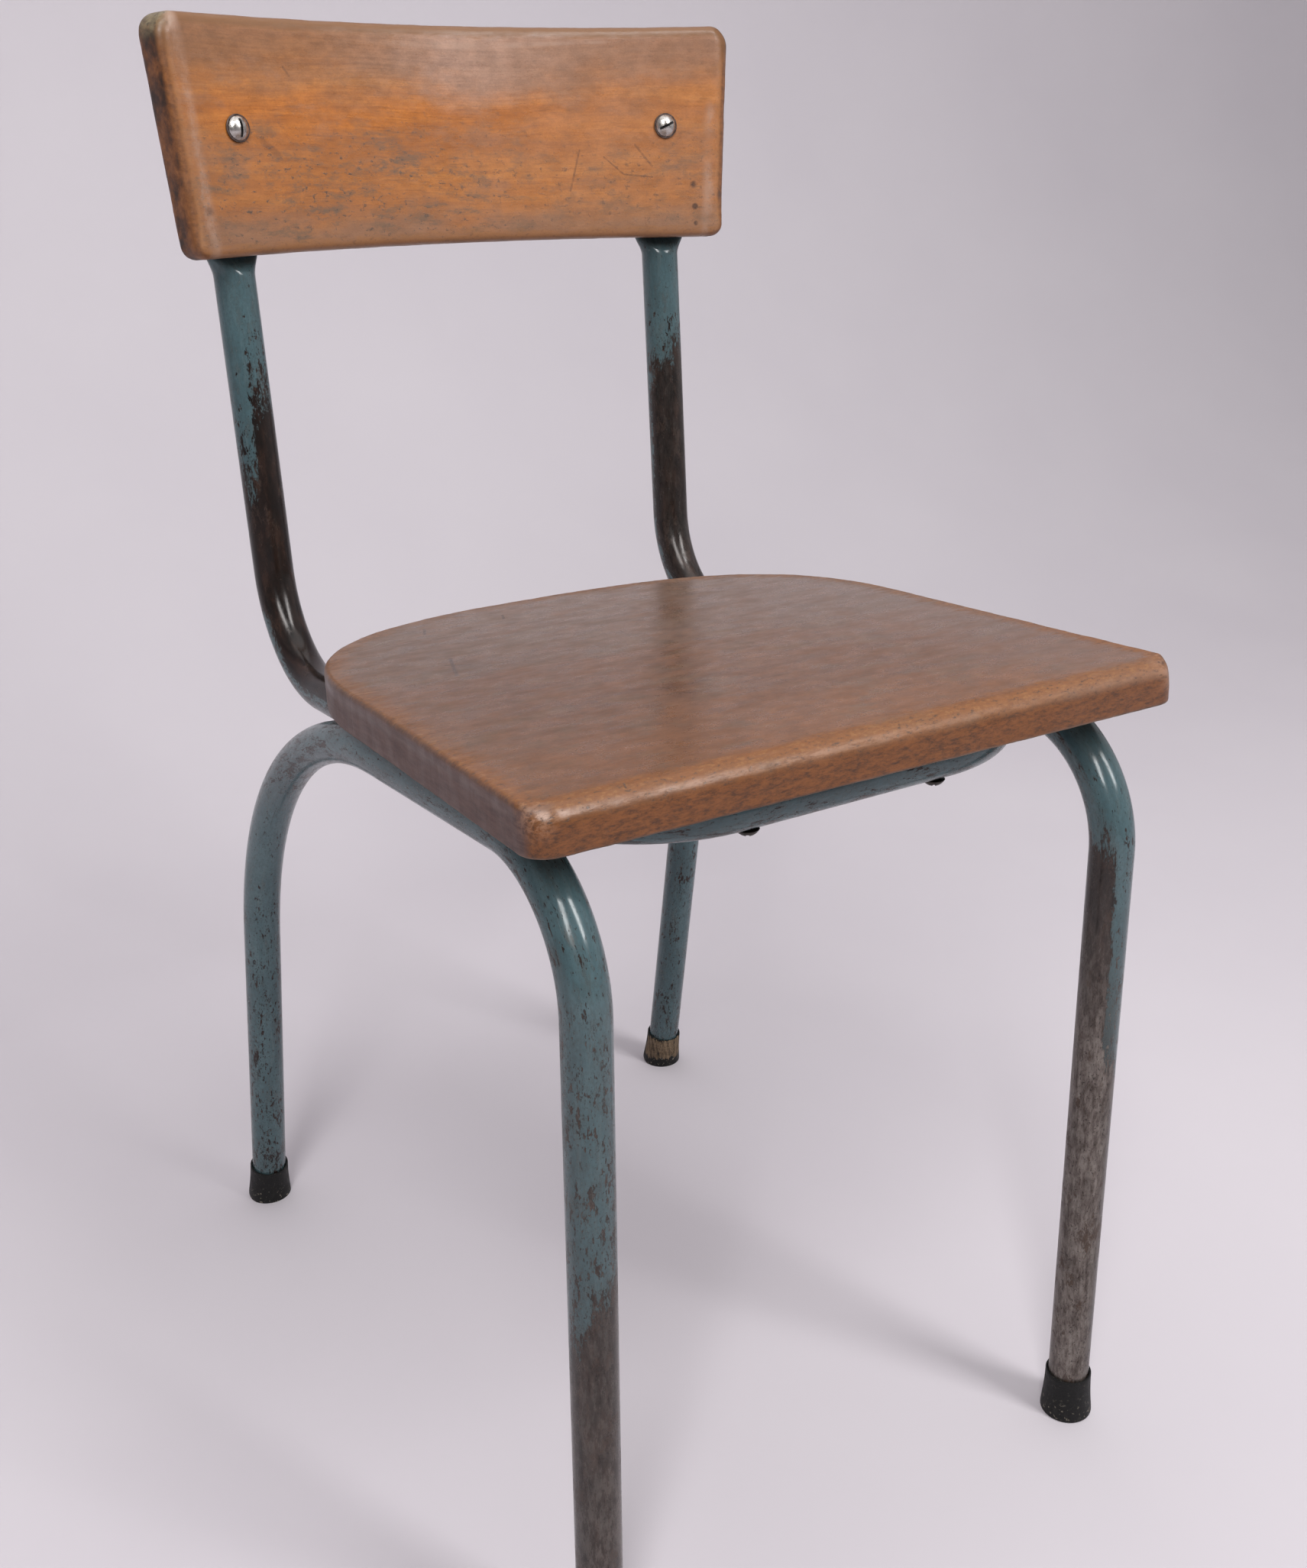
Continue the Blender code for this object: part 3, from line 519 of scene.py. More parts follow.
class Graph:
    """A material's node tree, written as sums."""

    def __init__(self, name):
        self.material = bpy.data.materials.new(name)
        self.material.use_nodes = True
        self.tree = self.material.node_tree
        self.shader = self.tree.nodes["Principled BSDF"]

    def node(self, kind, **settings):
        made = self.tree.nodes.new(kind)
        for key, value in settings.items():
            setattr(made, key, value)
        return made

    def feed(self, socket, value):
        if isinstance(value, bpy.types.NodeSocket):
            self.tree.links.new(value, socket)
        elif isinstance(value, (tuple, list)) and socket.type == "RGBA":
            socket.default_value = (*value[:3], 1.0)
        else:
            socket.default_value = value

    def math(self, operation, *values):
        made = self.node("ShaderNodeMath", operation=operation)
        for socket, value in zip(made.inputs, values):
            self.feed(socket, value)
        return made.outputs[0]

    def add(self, first, *others):
        for other in others:
            first = self.math("ADD", first, other)
        return first

    def times(self, first, *others):
        for other in others:
            first = self.math("MULTIPLY", first, other)
        return first

    def most(self, first, *others):
        for other in others:
            first = self.math("MAXIMUM", first, other)
        return first

    def minus(self, first, second):
        return self.math("SUBTRACT", first, second)

    def off(self, value, place):
        """How far a value lies from a place, either way."""
        return self.math("ABSOLUTE", self.minus(value, place))

    def sway(self, value, size):
        """A noise, made to swing about zero."""
        return self.times(self.minus(value, 0.5), size)

    def vectors(self, operation, *vectors):
        """The outputs of a sum with vectors: the vector first, then the number."""
        made = self.node("ShaderNodeVectorMath", operation=operation)
        for socket, vector in zip(made.inputs, vectors):
            self.feed(socket, vector)
        return made.outputs

    def noise(self, vector, scales, detail, roughness=0.5, moved=None, distortion=0.0):
        """Noise with its own scale along each axis, read from another place if moved."""
        if moved:
            vector = self.vectors("ADD", vector, moved)[0]
        made = self.node("ShaderNodeTexNoise")
        self.feed(made.inputs["Vector"], self.vectors("MULTIPLY", vector, scales)[0])
        settings = (("Scale", 1.0), ("Detail", detail), ("Roughness", roughness), ("Distortion", distortion))
        for name, number in settings:
            made.inputs[name].default_value = number
        return made.outputs[0]

    def span(self, value, low, high, to_low=0.0, to_high=1.0):
        """From one value at low to another at high, with a smooth run between them."""
        made = self.node("ShaderNodeMapRange", interpolation_type="SMOOTHSTEP")
        names = ("Value", "From Min", "From Max", "To Min", "To Max")
        for name, number in zip(names, (value, low, high, to_low, to_high)):
            self.feed(made.inputs[name], number)
        return made.outputs[0]

    def fade(self, value, low, high):
        """1 up to low, and 0 from high on."""
        return self.span(value, low, high, 1.0, 0.0)

    def mix(self, share, first, second, blend="MIX"):
        made = self.node("ShaderNodeMix", data_type="RGBA", blend_type=blend)
        self.feed(made.inputs[0], share)
        self.feed(made.inputs[6], first)
        self.feed(made.inputs[7], second)
        return made.outputs[2]

    def ramp(self, value, *stops):
        made = self.node("ShaderNodeValToRGB")
        self.feed(made.inputs[0], value)
        elements = made.color_ramp.elements
        while len(elements) < len(stops):
            elements.new(0.5)
        for element, (place, colour) in zip(elements, stops):
            element.position = place
            element.color = (*colour, 1.0)
        return made.outputs[0]

    def field(self, name, kind="Fac"):
        return self.node("ShaderNodeAttribute", attribute_name=name).outputs[kind]

    def parts(self, vector):
        made = self.node("ShaderNodeSeparateXYZ")
        self.feed(made.inputs[0], vector)
        return made.outputs[0], made.outputs[1], made.outputs[2]

    def bump(self, height, distance, strength):
        made = self.node("ShaderNodeBump")
        for name, value in (("Strength", strength), ("Distance", distance), ("Height", height)):
            self.feed(made.inputs[name], value)
        return made.outputs[0]

    def near(self, vector, place, radius, soft=0.5):
        """1 within a part of the radius of a place, and 0 beyond it."""
        return self.fade(self.vectors("DISTANCE", vector, place)[1], radius * soft, radius)

    def streak(self, vector, start, end, width):
        """1 along a line drawn on a flat board from start to end, and 0 beyond its width."""
        start = Vector((*start, 0.0))
        run = Vector((*end, 0.0)) - start
        arm = self.vectors("ADD", self.vectors("MULTIPLY", vector, (1, 1, 0))[0], -start)[0]
        share = self.node("ShaderNodeClamp")
        self.feed(share.inputs["Value"], self.vectors("DOT_PRODUCT", arm, run / run.length_squared)[1])
        nearest = self.node("ShaderNodeVectorMath", operation="SCALE")
        nearest.inputs[0].default_value = run
        self.feed(nearest.inputs["Scale"], share.outputs[0])
        return self.fade(self.vectors("DISTANCE", arm, nearest.outputs[0])[1], width * STREAK_CORE, width)

    def finish(self, colour, roughness, normal=None, metallic=None):
        self.feed(self.shader.inputs["Base Color"], colour)
        self.feed(self.shader.inputs["Roughness"], roughness)
        if normal is not None:
            self.feed(self.shader.inputs["Normal"], normal)
        if metallic is not None:
            self.feed(self.shader.inputs["Metallic"], metallic)
        return self.material


def painted_steel():
    """Petrol paint over steel, chipped in spots and rubbed away where a field called worn says so; under the
    seat worn also carries painted shade.
    """
    g = Graph("petrol_paint_worn")
    rod = g.field("rod", "Vector")
    worn = g.field("worn")
    chipped = g.field("chipped")
    pale = g.field("pale")

    # where the paint is gone: ragged lengthwise edges, chips of two sizes, specks and scratches
    torn = g.noise(rod, (210, 210, 62), 8, 0.72)
    torn_fine = g.noise(rod, (950, 950, 300), 4, 0.7)
    edge = g.add(worn, g.sway(torn, 2.0), g.sway(torn_fine, 1.1))
    rubbed = g.span(edge, 0.49, 0.53)
    spots = g.noise(rod, (430, 430, 165), 5, 0.66)
    big_spots = g.noise(rod, (150, 150, 95), 7, 0.72, moved=(0.5, 0.9, 0.3))
    specks = g.noise(rod, (1300, 1300, 620), 2, 0.55, moved=(0.3, 0.1, 0.7))
    cluster = g.noise(rod, (75, 75, 34), 2, moved=(0.7, 0.6, 0.5))
    gathered = g.add(g.times(chipped, 0.16), g.sway(cluster, 0.26))
    chips = g.span(g.add(spots, gathered), 0.715, 0.735)
    big_chips = g.span(g.add(big_spots, g.times(gathered, 0.8)), 0.755, 0.770)
    speckled = g.span(g.add(specks, g.times(gathered, 0.8)), 0.735, 0.765)
    thin = g.noise(rod, (1000, 1000, 22), 3, 0.6)
    scratched = g.span(g.add(cluster, g.times(chipped, 0.16)), 0.58, 0.66)
    scratches = g.times(g.span(thin, 0.68, 0.72), scratched)
    bare = g.most(rubbed, chips, big_chips, g.times(speckled, 0.85), g.times(scratches, 0.8))

    # paint: uneven petrol, brown film of dirt (with painted shade where worn is raised under the seat),
    # paler dry rubbed marks
    tone = g.noise(rod, (60, 60, 22), 6, 0.66)
    grain = g.noise(rod, (620, 620, 380), 5, 0.75)
    paint = g.ramp(
        tone, (0.30, (0.046, 0.082, 0.093)), (0.5, (0.060, 0.108, 0.122)), (0.70, (0.080, 0.132, 0.146)),
    )
    paint = g.mix(g.span(grain, 0.40, 0.66, 0.0, 0.38), paint, (0.036, 0.054, 0.058))
    haze = g.noise(rod, (300, 300, 34), 5, 0.74, moved=(0.2, 0.5, 0.1))
    paint = g.mix(g.span(haze, 0.52, 0.70, 0.0, 0.30), paint, (0.125, 0.162, 0.168))
    dirt = g.noise(rod, (120, 120, 48), 7, 0.75, moved=(0.4, 0.2, 0.9))
    dirt_and_shade = g.add(g.span(dirt, 0.53, 0.68, 0.0, 0.42), g.times(g.span(edge, 0.10, 0.50), 0.30))
    paint = g.mix(dirt_and_shade, paint, (0.052, 0.047, 0.040))
    paint = g.mix(g.times(g.span(edge, 0.36, 0.49), 0.55), paint, (0.022, 0.030, 0.032))
    paint = g.mix(g.times(pale, 0.90), paint, (0.034, 0.040, 0.039))

    # bare steel: dark brown with a little rust, and greyer where it is rubbed most
    patina = g.noise(rod, (150, 150, 48), 7, 0.7)
    steel = g.ramp(
        patina, (0.36, (0.0070, 0.0050, 0.0044)), (0.52, (0.0160, 0.0090, 0.0070)),
        (0.68, (0.039, 0.0205, 0.0145)),
    )
    cloudy = g.noise(rod, (330, 330, 95), 6, 0.74, moved=(0.6, 0.3, 0.8))
    greyed = g.ramp(
        cloudy, (0.36, (0.062, 0.048, 0.041)), (0.50, (0.150, 0.126, 0.112)), (0.64, (0.240, 0.212, 0.190)),
    )
    steel = g.mix(g.times(pale, g.span(patina, 0.30, 0.55, 0.70, 1.0)), steel, greyed)
    pits = g.noise(rod, (800, 800, 560), 3, 0.6, moved=(0.8, 0.1, 0.6))
    pitted = g.times(g.span(pits, 0.58, 0.66), g.add(0.35, g.times(pale, 0.35)))
    steel = g.mix(pitted, steel, (0.016, 0.012, 0.011))
    rust_where = g.noise(rod, (105, 105, 52), 7, 0.74, moved=(0.1, 0.8, 0.2))
    rust = g.times(g.span(rust_where, 0.54, 0.62), g.add(0.35, g.times(pale, 0.55)))
    rust_tone = g.noise(rod, (900, 900, 700), 4, 0.7)
    rusty = g.ramp(
        rust_tone, (0.3, (0.026, 0.015, 0.011)), (0.55, (0.058, 0.033, 0.022)), (0.8, (0.110, 0.062, 0.038)),
    )
    steel = g.mix(rust, steel, rusty)

    colour = g.mix(bare, paint, steel)
    paint_rough = g.add(0.13, g.times(g.span(grain, 0.35, 0.75), 0.14), g.times(dirt_and_shade, 0.24))
    steel_rough = g.add(g.span(cloudy, 0.35, 0.68, 0.15, 0.27), g.times(rust, 0.25), g.times(pale, 0.17))
    rough = g.add(g.times(paint_rough, g.minus(1.0, bare)), g.times(steel_rough, bare))
    metal = g.times(bare, g.minus(1.0, g.times(rust, 0.7)), g.add(0.25, g.times(pale, 0.40)))
    dimple = g.noise(rod, (300, 300, 190), 2)
    height = g.add(
        g.times(g.minus(1.0, bare), 0.85),
        g.times(dimple, 0.07),
        g.times(rust, rust_tone, bare, 0.5),
        g.times(pits, bare, -0.12),
    )
    return g.finish(colour, rough, g.bump(height, 0.00030, 0.7), metal)


def wood(name, light, middle, dark, band_scale, contrast):
    """Varnished wood with its grain along x. Returns the graph and what the two boards share."""
    g = Graph(name)
    spot = g.field("grain", "Vector")
    warp = g.noise(spot, (6, 18, 18), 2)
    shift = g.node("ShaderNodeCombineXYZ")
    g.feed(shift.inputs[1], g.sway(warp, 0.018))
    bent = g.node("ShaderNodeVectorMath", operation="ADD")
    g.feed(bent.inputs[0], spot)
    g.feed(bent.inputs[1], shift.outputs[0])
    flow = bent.outputs[0]
    bands = g.noise(flow, (4.0, band_scale, band_scale), 5, 0.68)
    fibres = g.noise(flow, (22, 620, 620), 5, 0.70)
    pores = g.noise(flow, (95, 1500, 1500), 2, 0.5)
    mottle = g.noise(spot, (105, 150, 150), 7, 0.74)
    dust = g.noise(spot, (950, 1100, 1100), 3, 0.7)
    figure = g.add(g.times(bands, 0.55), g.times(fibres, 0.30), g.times(mottle, 0.15))
    reach = 0.10 / contrast
    colour = g.ramp(figure, (0.50 - reach, dark), (0.50, middle), (0.50 + reach, light))
    pore_share = g.span(pores, 0.58, 0.70, 0.0, 0.42 * contrast)
    colour = g.mix(pore_share, colour, tuple(part * 0.45 for part in dark))
    return g, spot, flow, fibres, pores, mottle, dust, colour


def speckled_tone(g, colour, mottle, dust, strength):
    """Small uneven light and dark all over, as on old varnish."""
    tone = g.span(g.add(g.times(mottle, 0.6), g.times(dust, 0.4)), 0.36, 0.64)
    uneven = g.ramp(tone, (0.0, (1.0 - strength,) * 3), (1.0, (1.0 + strength,) * 3))
    return g.mix(1.0, colour, uneven, "MULTIPLY")


def seat_wood():
    """Brown planks under worn satin varnish: redder at the front, greyer behind, orange along the rims."""
    g, spot, flow, fibres, pores, mottle, dust, colour = wood(
        "seat_wood_worn", (0.165, 0.074, 0.034), (0.136, 0.059, 0.027), (0.104, 0.045, 0.022), 110, 0.55,
    )
    rim = g.field("rim")
    x, y, z = g.parts(spot)

    # three planks, each with its own tone, and the glue lines between them
    front_line = g.add(-0.050, g.times(x, -0.105))
    rear_line = g.add(0.046, g.times(x, 0.02))
    past_front = g.span(g.minus(y, front_line), -0.0005, 0.0005)
    past_rear = g.span(g.minus(y, rear_line), -0.0005, 0.0005)
    colour = g.mix(g.times(past_front, 0.50), colour, (0.112, 0.066, 0.042))
    colour = g.mix(g.times(past_rear, 0.30), colour, (0.155, 0.090, 0.056))
    line_off = g.math("MINIMUM", g.off(y, front_line), g.off(y, rear_line))
    glue = g.fade(line_off, 0.0002, 0.0008)
    pale_line = g.times(g.fade(g.add(line_off, g.times(fibres, 0.004)), 0.0022, 0.0036), past_front)
    colour = g.mix(g.times(pale_line, 0.35), colour, (0.270, 0.150, 0.090))
    colour = g.mix(g.times(glue, 0.40), colour, (0.050, 0.026, 0.018))

    # greyer behind where it has been sat on, and greyer towards the right as painted reflection of the
    # backdrop; redder along the front and the left
    drift = g.noise(spot, (16, 30, 10), 5, 0.65)
    grey_and_reflection_reach = g.add(y, g.times(x, 0.35), g.sway(drift, 0.16))
    colour = g.mix(g.span(grey_and_reflection_reach, -0.15, 0.07, 0.0, 0.46), colour, (0.160, 0.104, 0.080))
    red_reach = g.add(y, g.times(x, 0.10), g.sway(drift, 0.10))
    colour = g.mix(g.span(red_reach, -0.215, -0.130, 0.55, 0.0), colour, (0.200, 0.078, 0.025))
    colour = g.mix(g.span(x, -0.165, -0.105, 0.36, 0.0), colour, (0.190, 0.084, 0.032))
    patches = g.noise(spot, (36, 70, 36), 7, 0.72, moved=(0.9, 0.2, 0.5))
    colour = g.mix(g.span(patches, 0.50, 0.64, 0.0, 0.45), colour, (0.128, 0.082, 0.052))
    colour = g.mix(g.span(patches, 0.36, 0.48, 0.30, 0.0), colour, (0.190, 0.082, 0.040))
    colour = speckled_tone(g, colour, mottle, dust, 0.24)
    # painted shade: the left made darker and more saturated, as where less of the backdrop is reflected
    painted_left_shade = g.ramp(g.span(x, -0.17, 0.02), (0.0, (0.78, 0.72, 0.61)), (1.0, (1.0, 1.0, 1.0)))
    colour = g.mix(1.0, colour, painted_left_shade, "MULTIPLY")
    # painted reflection: the right made greyer, as where more of the backdrop is reflected
    painted_right_reflection = g.span(g.add(x, g.sway(drift, 0.1)), 0.05, 0.16, 0.0, 0.34)
    colour = g.mix(painted_right_reflection, colour, (0.200, 0.142, 0.122))

    # rims: orange bare wood and yellow specks behind the nose, dark grime in what is left of the varnish
    rub = g.noise(spot, (75, 300, 300), 7, 0.74)
    speck = g.noise(spot, (330, 620, 620), 4, 0.7)
    top_only = g.span(z, SEAT_THICKNESS - 0.0080, SEAT_THICKNESS - 0.0010)
    band = g.times(g.fade(g.add(rim, g.sway(rub, 0.034)), 0.0040, 0.0165), top_only)
    front_share = g.span(y, -0.19, -0.10, 1.0, 0.55)
    colour = g.mix(g.times(band, front_share, 0.70), colour, (0.205, 0.073, 0.019))
    yellow = g.times(band, g.span(speck, 0.52, 0.62), 0.42)
    colour = g.mix(yellow, colour, (0.300, 0.148, 0.052))
    near_rim = g.span(g.add(rim, g.times(rub, 0.02)), 0.012, 0.040, 1.0, 0.15)
    grime = g.times(near_rim, g.span(speck, 0.34, 0.44, 0.80, 0.0))
    colour = g.mix(grime, colour, (0.055, 0.032, 0.019))

    # front face: orange brown with dark dashes of grain; sides: purple brown end grain under a dark arris
    below_nose = g.fade(z, SEAT_THICKNESS - 0.0095, SEAT_THICKNESS - 0.0050)
    face_grain = g.noise(spot, (210, 620, 620), 6, 0.80)
    face_colour = g.ramp(
        face_grain, (0.38, (0.046, 0.016, 0.006)), (0.48, (0.118, 0.037, 0.008)),
        (0.60, (0.180, 0.059, 0.013)),
    )
    colour = g.mix(g.times(below_nose, 0.85), colour, face_colour)
    # painted highlight: a pale strip along the nose's arris, strongest on the left
    painted_nose_highlight = g.times(
        g.fade(g.off(z, SEAT_THICKNESS - 0.0048), 0.0006, 0.0024),
        g.fade(y, -0.222, -0.214), g.span(x, -0.040, 0.060, 1.0, 0.45),
    )
    colour = g.mix(g.times(painted_nose_highlight, g.span(rub, 0.46, 0.60), 0.40), colour, (0.360, 0.205, 0.130))
    side_reach = g.span(g.math("ABSOLUTE", x), SEAT_WIDTH / 2 - 0.016, SEAT_WIDTH / 2 - 0.009)
    is_side = g.times(side_reach, g.fade(z, SEAT_THICKNESS - 0.0032, SEAT_THICKNESS - 0.0012))
    is_side = g.times(is_side, g.span(y, -0.222, -0.217))
    end_grain = g.noise(spot, (300, 60, 420), 5, 0.7)
    side_colour = g.ramp(
        end_grain, (0.36, (0.066, 0.037, 0.033)), (0.50, (0.094, 0.054, 0.047)),
        (0.64, (0.118, 0.070, 0.060)),
    )
    colour = g.mix(g.times(is_side, 0.92), colour, side_colour)
    at_arris = g.fade(g.off(z, SEAT_THICKNESS - 0.0016), 0.0003, 0.0016)
    arris = g.times(side_reach, at_arris, g.span(rub, 0.40, 0.55, 0.45, 1.0))
    colour = g.mix(g.times(arris, 0.70), colour, (0.050, 0.024, 0.016))

    # knocked front corners: pinkish bare wood, with specks
    corners = g.most(
        g.near(spot, (-SEAT_WIDTH / 2, SEAT_FRONT_Y, SEAT_THICKNESS - 0.002), 0.017, 0.35),
        g.near(spot, (SEAT_WIDTH / 2, SEAT_FRONT_Y, SEAT_THICKNESS - 0.002), 0.021, 0.35),
    )
    bare = g.times(corners, g.span(g.add(rub, g.times(speck, 0.4)), 0.62, 0.78))
    colour = g.mix(g.times(bare, 0.60), colour, (0.340, 0.180, 0.112))
    colour = g.mix(g.times(corners, g.span(speck, 0.36, 0.44, 0.7, 0.0)), colour, (0.060, 0.030, 0.020))

    # underside: raw wood, with stains
    under = g.fade(z, 0.0002, 0.002)
    raw = g.noise(flow, (9, 210, 210), 7, 0.74)
    raw_colour = g.ramp(
        raw, (0.36, (0.070, 0.038, 0.022)), (0.50, (0.150, 0.088, 0.052)), (0.64, (0.240, 0.152, 0.096)),
    )
    stain = g.noise(spot, (13, 17, 10), 7, 0.70, moved=(0.2, 0.4, 0.0), distortion=0.6)
    raw_colour = g.mix(g.span(stain, 0.50, 0.57, 0.0, 0.60), raw_colour, (0.058, 0.036, 0.024))
    raw_colour = g.mix(g.span(mottle, 0.52, 0.66, 0.0, 0.45), raw_colour, (0.200, 0.150, 0.115))
    colour = g.mix(g.times(under, 0.92), colour, raw_colour)

    # scars that can be made out one by one, and small dark marks all over
    scars = g.most(*(
        g.streak(spot, start, end, width)
        for start, end, width in (
            ((-0.1028, -0.0017), (-0.1137, -0.0336), 0.0013),
            ((-0.1100, -0.0130), (-0.1000, -0.0190), 0.0010),
            ((-0.0877, 0.0653), (-0.0925, 0.0540), 0.0012),
            ((-0.0397, 0.0672), (-0.0430, 0.0590), 0.0010),
            ((-0.1290, -0.2215), (-0.1284, -0.2190), 0.0006),
        )
    ))
    on_top = g.span(z, SEAT_THICKNESS - 0.006, SEAT_THICKNESS - 0.004)
    scars = g.times(scars, on_top, g.span(dust, 0.3, 0.6, 0.5, 1.0))
    marks = g.span(g.noise(spot, (260, 380, 380), 6, 0.72), 0.630, 0.70)
    colour = g.mix(g.times(g.most(scars, g.times(marks, 0.7)), 0.75), colour, (0.050, 0.032, 0.026))
    rough = g.add(
        g.span(g.noise(spot, (40, 90, 40), 6, 0.68), 0.35, 0.68, 0.24, 0.40),
        g.times(band, g.span(x, -0.05, 0.04, 0.10, 0.30)), g.times(below_nose, 0.16), g.times(is_side, 0.10),
        g.times(under, 0.20),
    )
    height = g.add(
        g.times(fibres, 0.045), g.times(pores, -0.045), g.times(glue, -0.4), g.times(scars, -0.8),
        g.times(marks, -0.12), g.times(dust, 0.04), g.times(rub, g.most(band, corners), 0.20),
        g.times(grime, -0.20),
    )
    return g.finish(colour, rough, g.bump(height, 0.00030, 0.6))


def backrest_wood():
    """Vivid orange varnish in the middle, greyer above, with dark smudges, worn rims and stained ends."""
    g, spot, flow, fibres, pores, mottle, dust, colour = wood(
        "backrest_wood_worn", (0.535, 0.200, 0.040), (0.440, 0.148, 0.027), (0.345, 0.110, 0.022), 70, 0.90,
    )
    rim = g.field("rim")
    x, y, z = g.parts(spot)
    drift = g.noise(spot, (14, 34, 10), 6, 0.66)
    wander = g.minus(drift, 0.5)
    level = g.add(y, g.times(wander, 0.060))

    # dulled above: ochre on the left, a pale bloom in the middle, browner on the right
    along = g.span(g.add(x, g.times(wander, 0.08)), -0.16, 0.16)
    bloom = g.ramp(
        along, (0.10, (0.235, 0.112, 0.056)), (0.36, (0.262, 0.140, 0.085)), (0.50, (0.335, 0.216, 0.166)),
        (0.66, (0.318, 0.202, 0.152)), (0.86, (0.225, 0.130, 0.088)),
    )
    dull_tone = g.span(g.add(g.times(fibres, 0.6), g.times(mottle, 0.4)), 0.38, 0.62, 0.86, 1.10)
    dull = g.mix(1.0, bloom, dull_tone, "MULTIPLY")
    reach = g.add(level, g.times(g.off(x, 0.02), -0.05))
    colour = g.mix(g.span(reach, 0.002, 0.034, 0.0, 0.88), colour, dull)

    # browner to the right, dull and pinkish along the foot, in soft blotches
    browner = g.span(g.add(x, g.times(wander, 0.20)), -0.04, 0.12, 0.0, 0.42)
    colour = g.mix(browner, colour, (0.330, 0.158, 0.084))
    colour = g.mix(g.span(level, -0.058, -0.034, 0.72, 0.0), colour, (0.235, 0.138, 0.092))
    blotch = g.noise(spot, (26, 60, 20), 6, 0.7, moved=(0.3, 0.7, 0.2))
    colour = g.mix(g.span(blotch, 0.50, 0.66, 0.0, 0.40), colour, (0.285, 0.150, 0.092))
    colour = speckled_tone(g, colour, mottle, dust, 0.12)

    # grey smudges and dark specks, thickest below and beside the left screw
    low_left = g.times(g.fade(level, -0.020, 0.012), g.span(x, -0.05, 0.08, 1.0, 0.50))
    colour = g.mix(g.times(low_left, 0.34), colour, (0.190, 0.100, 0.058))
    smudge = g.noise(flow, (46, 110, 60), 8, 0.78)
    smudges = g.times(g.span(smudge, 0.47, 0.65), g.add(0.14, g.times(low_left, 0.80)))
    colour = g.mix(smudges, colour, (0.145, 0.088, 0.054))
    speck = g.noise(spot, (260, 380, 380), 6, 0.74)
    specks = g.times(g.span(speck, 0.565, 0.64), g.add(0.16, g.times(low_left, 0.74)))
    colour = g.mix(specks, colour, (0.085, 0.056, 0.040))
    far_left = g.fade(x, -0.172, -0.125)
    colour = g.mix(g.times(far_left, 0.42), colour, (0.190, 0.092, 0.046))

    # rims: orange where the varnish is thin, with brown specks, and a browner rounding down the ends
    rub = g.noise(spot, (75, 300, 300), 7, 0.74)
    on_front = g.span(z, BACKREST_THICKNESS - 0.0050, BACKREST_THICKNESS - 0.0010)
    band = g.times(g.fade(g.add(rim, g.sway(rub, 0.016)), 0.0030, 0.0085), on_front)
    colour = g.mix(g.times(band, 0.66), colour, (0.305, 0.130, 0.043))
    colour = g.mix(g.times(band, g.span(speck, 0.36, 0.46, 0.65, 0.0)), colour, (0.150, 0.072, 0.036))
    side_share = g.fade(z, BACKREST_THICKNESS - 0.0062, BACKREST_THICKNESS - 0.0034)
    side_grain = g.noise(spot, (60, 330, 330), 6, 0.72)
    side_colour = g.ramp(
        side_grain, (0.36, (0.085, 0.032, 0.012)), (0.50, (0.200, 0.078, 0.024)),
        (0.64, (0.290, 0.125, 0.046)),
    )
    colour = g.mix(g.times(side_share, 0.85), colour, side_colour)
    half_width = g.add((BACKREST_TOP_WIDTH + BACKREST_FOOT_WIDTH) / 4, g.times(y, END_SLOPE))
    off_end = g.minus(half_width, g.off(x, BACKREST_OFFSET))
    near_end = g.fade(off_end, 0.0080, 0.0120)
    is_end = g.times(near_end, g.fade(z, BACKREST_THICKNESS - 0.0050, BACKREST_THICKNESS - 0.0026))
    rounding = g.times(near_end, g.fade(z, BACKREST_THICKNESS - 0.0016, BACKREST_THICKNESS - 0.0004))
    rounding_colour = g.ramp(side_grain, (0.38, (0.105, 0.038, 0.013)), (0.60, (0.225, 0.084, 0.025)))
    colour = g.mix(g.times(rounding, 0.85), colour, rounding_colour)

    # a line of dirt along the top rim, then a painted pale highlight under it and just inside the two ends
    top_line = g.times(g.fade(g.add(rim, g.sway(rub, 0.004)), 0.0042, 0.0075), g.span(y, 0.030, 0.044))
    colour = g.mix(g.times(top_line, 0.78), colour, (0.158, 0.068, 0.022))
    highlight_patch = g.noise(spot, (60, 34, 60), 7, 0.75, moved=(0.6, 0.2, 0.4))
    wavy_end = g.add(off_end, g.sway(highlight_patch, 0.006))
    inside_end = g.fade(g.off(wavy_end, 0.0108), 0.0002, 0.0050)
    right_end = g.times(g.span(x, 0.0, 0.1), g.fade(y, 0.004, 0.016))
    at_ends = g.times(inside_end, g.most(g.fade(x, -0.1, 0.0), right_end))
    below_top = g.fade(g.off(rim, 0.0112), 0.0004, 0.0032)
    below_top = g.times(below_top, g.span(y, 0.02, 0.03), g.fade(g.off(x, 0.03), 0.050, 0.090))
    painted_pale_highlight = g.times(g.most(at_ends, g.times(below_top, 0.7)), g.span(highlight_patch, 0.38, 0.62, 0.20, 1.0))
    colour = g.mix(g.times(painted_pale_highlight, 0.58), colour, (0.420, 0.275, 0.205))
    stain = g.noise(spot, (70, 62, 90), 6, 0.7)
    end_colour = g.ramp(
        stain, (0.40, (0.020, 0.011, 0.009)), (0.48, (0.066, 0.027, 0.014)), (0.56, (0.145, 0.053, 0.019)),
        (0.66, (0.240, 0.092, 0.030)),
    )
    colour = g.mix(g.times(is_end, 0.92), colour, end_colour)
    upper_left = (-BACKREST_TOP_WIDTH / 2 + 0.002, BACKREST_ABOVE_SCREW, BACKREST_THICKNESS / 2)
    corner = g.near(spot, upper_left, 0.016, 0.4)
